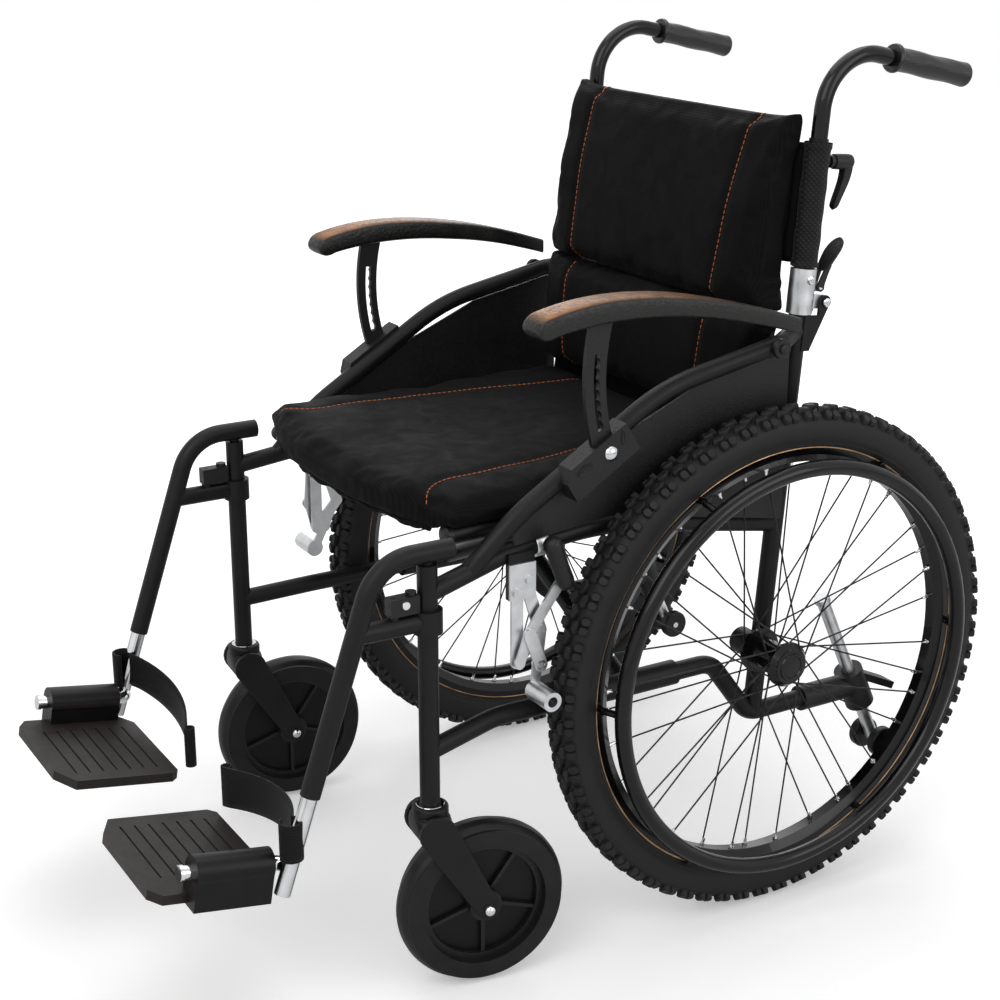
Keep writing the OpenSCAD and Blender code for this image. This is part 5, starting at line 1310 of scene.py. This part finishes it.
class CHAIR_OT_handles(bpy.types.Operator):
    """Makes the rubber grips, and the braided sleeves and cloth webs on the back canes"""
    bl_idname = "chair.handles"
    bl_label = "Handles"

    def execute(self, context):
        sizes = context.scene.chair_sizes
        for side, s in SIDES:
            grip = self.grip(CANE_X * s)
            grip = grip.piece(f"{side}_rubber_grip", "grip", f"{side}_handle", "grip_rubber", 50)
            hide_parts(f"{side}_grip")
            sleeve = self.sleeve(CANE_X * s, sizes.sleeve)
            sleeve = sleeve.piece(f"{side}_cane_sleeve", "sleeve", f"{side}_back", "cloth", 50)
            rings = [[on_back(x * s, y, z) for x, y in WEB_ACROSS] for z in np.linspace(*WEB_ENDS, 18)]
            web = Form().skin(rings, around=False, caps=False)
            web = web.piece(f"{side}_back_web", "back", f"{side}_back", "cloth", 60)
            thicken(web, COVER_THICK)
        return {"FINISHED"}

    def grip(self, x):
        """A grip with a collar, low twisted ridges and a round end, on the drooping end of a push handle."""
        c, s = math.cos(GRIP_DROP), math.sin(GRIP_DROP)
        tip_y, tip_z = GRIP_REACH * c, GRIP_TOP - GRIP_REACH * s
        foot, tip = on_back(x, tip_y - GRIP_LONG * c, tip_z + GRIP_LONG * s), on_back(x, tip_y, tip_z)
        axis = (tip - foot).normalized()
        up = X_AXIS.cross(axis).normalized()
        rings = []
        for d in np.linspace(0, GRIP_LONG, 97):
            base, ridge = self.grip_radius(d), GRIP_RIDGE * self.held(d)
            rings.append([foot + (axis * d + (X_AXIS * math.cos(a) + up * math.sin(a))
                                  * (base + ridge * math.sin(3 * a + d / 9))) * MM for a in turns(40)])
        return Form().skin(rings)

    def grip_radius(self, d):
        """Radius of a grip at a distance from its front end, in millimetres."""
        if d < GRIP_COLLAR:
            return 15.4 + 1.2 * math.sin(math.pi * d / GRIP_COLLAR)
        if d > GRIP_TIP:
            return 13.6 * math.sqrt(max(0.02, 1 - ((d - GRIP_TIP) / 6.2) ** 2)) + 0.6
        return 13.4 + 0.8 * max(0.0, (d - GRIP_FLARE) / (GRIP_TIP - GRIP_FLARE)) ** 2

    def held(self, d):
        """How strongly the ridges stand at a distance along a grip."""
        return max(0.0, min(1.0, (d - 9) / 8, (108 - d) / 8))

    def sleeve(self, x, radius):
        """A braided sleeve round a cane, with a little slack and thicker hems."""
        rings = []
        for i in range(SLEEVE_STEPS + 1):
            z = SLEEVE_FOOT + SLEEVE_LONG * i / SLEEVE_STEPS
            wide = radius + (SLEEVE_HEM if i < 2 or i > SLEEVE_STEPS - 3 else 0.0)
            slack = SLEEVE_SLACK * math.sin(z / 6.0)
            ring = []
            for a in turns(36):
                r = (wide + slack * math.cos(a * 2 + z / 20)) / MM
                ring.append(on_back(x + r * math.cos(a), r * math.sin(a), z))
            rings.append(ring)
        return Form().skin(rings, caps=False)


# Levers of the back

CLAMP_Z, CLAMP_LONG = 171, 54
CLAMP_BOSS = [(4.4, 18.0), (7.0, 18.2), (7.2, 22.0), (6.4, 22.4), (6.4, 23.6), (8.4, 24.2), (8.8, 29.0),
              (8.8, 45.0), (8.2, 48.4), (6.4, 50.2), (3.0, 51.0), (0.0, 51.2)]
PADDLE_PIN = (22, 30)
PADDLE_PATH = (PADDLE_PIN, (29, 58), (51, 84))
PADDLE_STEPS, SPOON_FIRST, CHEEK_LAST = 40, 13, 20
PADDLE_CHEEK_X = 6.3
PADDLE_EYE = [(2.8, -2.0), (4.6, -2.0), (5.0, -1.6), (5.0, 1.6), (4.6, 2.0), (2.8, 2.0)]


class CHAIR_OT_levers(bpy.types.Operator):
    """Makes the clamp levers and the release paddles of the back"""
    bl_idname = "chair.levers"
    bl_label = "Levers"

    def execute(self, context):
        for side, s in SIDES:
            x = CANE_X * s
            for form, name, body, node in ((self.clamp(x), "clamp_handle", "clamp", "clamp_lever"),
                                           (self.paddle(x), "thumb_paddle", "paddle", "release_paddle")):
                lever = form.piece(f"{side}_{name}", "plastic", f"{side}_{body}", "black_plastic", 40)
                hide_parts(f"{side}_{node}")
        return {"FINISHED"}

    def clamp(self, x):
        """A turned boss with a tapering handle that hangs from it."""
        aft = on_back(x, 1, 0) - on_back(x, 0, 0)
        rings = []
        for i in range(21):
            t = i / 20
            end = math.sqrt(max(0.02, 1 - (max(0.0, t - 0.88) / 0.12) ** 2))
            y = 43.5 - 12 * t + 6 * math.sin(math.pi * t) * (1 - t)
            wide, deep = (6.8 - 1.6 * t) * end, (6.6 - 3.2 * t) * end
            z = CLAMP_Z - CLAMP_LONG * t
            rings.append([on_back(x + wide * a, y + deep * b, z) for a, b in squircle()])
        return Form().turn(CLAMP_BOSS, on_back(x, 0, CLAMP_Z), aft, 40).skin(rings)

    def paddle(self, x):
        """A curved spoon on two cheeks, each with an eye for the pin."""
        path = bezier(*PADDLE_PATH, PADDLE_STEPS)
        spoon = []
        for i in range(SPOON_FIRST, PADDLE_STEPS + 1):
            t = (i - SPOON_FIRST) / (PADDLE_STEPS - SPOON_FIRST)
            end = math.sqrt(max(0.015, 1 - (max(0.0, t - 0.6) / 0.4) ** 2))
            wide = (8.4 + 3.6 * math.sin(math.pi * min(t, 0.6) / 1.2)) * end
            outline = [(wide * a, 2.6 * b - 1.6 * a * a) for a, b in squircle(28, 0.6)]
            spoon.append(self.slice(x, path, i, outline))
        form = Form().skin(spoon)
        for cheek_x in (-PADDLE_CHEEK_X, PADDLE_CHEEK_X):
            form.skin([self.slice(x, path, i, [(cheek_x + 2 * a, (4.8 - 0.1 * i) * b) for a, b in squircle()])
                       for i in range(CHEEK_LAST)])
            form.turn(PADDLE_EYE, on_back(x + cheek_x, *PADDLE_PIN), X_AXIS, 32, closed=True)
        return form

    def slice(self, x, path, i, outline):
        """One slice across a paddle, from points across it and along its face's normal, in millimetres."""
        a, b = path[max(i - 1, 0)], path[min(i + 1, len(path) - 1)]
        run = math.dist(a, b)
        ny, nz = (b[1] - a[1]) / run, -(b[0] - a[0]) / run
        y, z = path[i]
        return [on_back(x + across, y + ny * out, z + nz * out) for across, out in outline]


# Brakes

BRAKE_X, BRAKE_PIN = 269.6, (-337, 365)
BRAKE_GRIP = ((-285, 452), (-303, 500))
RELEASED = math.radians(32)
BRAKE_GRIP_R = 0.0096
GRIP_FOOT = ((-0.006, 0.3), (-0.0055, 0.62), (-0.004, 0.84), (-0.001, 0.98), (0.004, 1.04), (0.02, 1.0))
GRIP_HEAD = ((-0.012, 1.06), (-0.002, 1.1), (0.003, 0.98), (0.0058, 0.72), (0.007, 0.34))


class CHAIR_OT_brakes(bpy.types.Operator):
    """Makes the grips of the brake levers, the left one locked and the right one released"""
    bl_idname = "chair.brakes"
    bl_label = "Brakes"

    def execute(self, context):
        for side, s in SIDES:
            turn = 0.0 if s > 0 else RELEASED
            ends = []
            for y, z in BRAKE_GRIP:
                dy, dz = y - BRAKE_PIN[0], z - BRAKE_PIN[1]
                ends.append(at(BRAKE_X * s, BRAKE_PIN[0] + dy * math.cos(turn) - dz * math.sin(turn),
                               BRAKE_PIN[1] + dy * math.sin(turn) + dz * math.cos(turn)))
            foot, head = ends
            run = (head - foot).length
            axis = (head - foot).normalized()
            profile = [*GRIP_FOOT, *((run + d, share) for d, share in GRIP_HEAD)]
            grip = Form().tube([foot + axis * d for d, _ in profile],
                               [BRAKE_GRIP_R * share for _, share in profile], sides=24)
            grip.piece(f"{side}_brake_grip", "plastic", f"{side}_brake_lever", "black_plastic", 50)
        return {"FINISHED"}


# Small fittings

PANEL_X, GUIDE_SLOPE = 275, math.radians(31.4)
DOME_PLACE = (-233.5, 590.5)
DOME = [(8.6, -1.0), (8.6, 0.4), (8.0, 1.6), (6.4, 3.2), (4.0, 4.4), (0.0, 5.0)]
GUIDE_RINGS = ((1.16, -0.6), (1.12, 0.7), (1.0, 0.9), (0.9, 0.5), (0.8, 0.2), (0.4, 0.15))
BAND_PLACE, RAIL_WAY = (236, -300, 490.2), (0, 125, 13)
BAND = [(11.2, -8.0), (13.4, -8.0), (14.0, -7.2), (14.0, 7.2), (13.4, 8.0), (11.2, 8.0)]
PLUG_PLACE = (212, -401, 509)
PLUG = [(0.0, 3.4), (7.0, 3.2), (10.0, 2.2), (11.4, 0.6), (11.4, -6.0), (0.0, -6.0)]
BUTTON = [(5.0, -2.0), (5.0, 1.0), (4.2, 2.2), (0.0, 2.8)]
SCREW_X, SCREW_PLACES = 241, ((0, 40), (27, 14))
SCREW = [(5.2, -1.5), (5.2, 1.2), (4.4, 2.2), (2.4, 2.6), (1.8, 1.2), (0.0, 1.2)]


class CHAIR_OT_fittings(bpy.types.Operator):
    """Adds the small bright and dark fittings of the frame"""
    bl_idname = "chair.fittings"
    bl_label = "Fittings"

    def execute(self, context):
        for side, s in SIDES:
            out, body = X_AXIS * s, f"{side}_frame"
            turned(f"{side}_guide_dome", DOME, at(PANEL_X * s, *DOME_PLACE), out, "chrome", body, "bright")
            self.slots(s).piece(f"{side}_guide_slots", "tread", body, "black_plastic")
            x, y, z = BAND_PLACE
            turned(f"{side}_rail_band", BAND, at(x * s, y, z), Vector(RAIL_WAY), "alloy", body, "silver")
            x, y, z = PLUG_PLACE
            turned(f"{side}_seat_rail_plug", PLUG, at(x * s, y, z), -Y_AXIS, "plastic",
                   "brace_b" if s > 0 else "brace_a", "black_plastic")
            low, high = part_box(f"{side}_legrest_latch")
            place = (low + high) / 2
            place.x = high.x if s > 0 else low.x
            turned(f"{side}_latch_button", BUTTON, place, out, "chrome", f"{side}_latch", "bright")
            screws = Form()
            for y, z in SCREW_PLACES:
                screws.turn(SCREW, on_back(SCREW_X * s, y, z), out)
            screws.piece(f"{side}_hinge_screws", "chrome", f"{side}_back", "bright")
        return {"FINISHED"}

    def slots(self, s):
        """The two oval slots in a strut's guide: their place, half length, half height and lie."""
        slope = Vector((0, -math.cos(GUIDE_SLOPE), -math.sin(GUIDE_SLOPE)))
        form = Form()
        for y, z, long, tall, along in ((-266, 577, 9.0, 5.0, slope), (-219, 606, 7.0, 2.2, Z_AXIS)):
            centre, across = at(PANEL_X * s, y, z), along.cross(X_AXIS)
            oval = [along * long * math.cos(a) + across * tall * math.sin(a) for a in turns(32)]
            form.skin([[centre + (X_AXIS * s * rise + p * share) * MM for p in oval]
                       for share, rise in GUIDE_RINGS])
        return form


class CHAIR_PT_panel(bpy.types.Panel):
    """Lists the sizes, the colours and the steps of the dress"""
    bl_idname = "CHAIR_PT_panel"
    bl_label = "Wheelchair"
    bl_space_type = "VIEW_3D"
    bl_region_type = "UI"
    bl_category = "Wheelchair"

    def draw(self, context):
        for group in (context.scene.chair_sizes, context.scene.chair_colours):
            for key in group.__annotations__:
                self.layout.prop(group, key)
        for step in STEPS:
            self.layout.operator(step.bl_idname)


STEPS = (CHAIR_OT_stage, CHAIR_OT_finishes, CHAIR_OT_tyres, CHAIR_OT_wheel_fittings, CHAIR_OT_castors,
         CHAIR_OT_seat, CHAIR_OT_back, CHAIR_OT_arms, CHAIR_OT_straps, CHAIR_OT_handles, CHAIR_OT_levers,
         CHAIR_OT_brakes, CHAIR_OT_fittings)
CLASSES = (ChairSizes, ChairColours, *STEPS, CHAIR_PT_panel)


def register():
    for cls in CLASSES:
        bpy.utils.register_class(cls)
    bpy.types.Scene.chair_sizes = PointerProperty(type=ChairSizes)
    bpy.types.Scene.chair_colours = PointerProperty(type=ChairColours)


def unregister():
    del bpy.types.Scene.chair_sizes
    del bpy.types.Scene.chair_colours
    for cls in reversed(CLASSES):
        bpy.utils.unregister_class(cls)


def main():
    register()
    for step in STEPS:
        getattr(bpy.ops.chair, step.bl_idname.split(".")[1])()


if __name__ == "__main__":
    main()
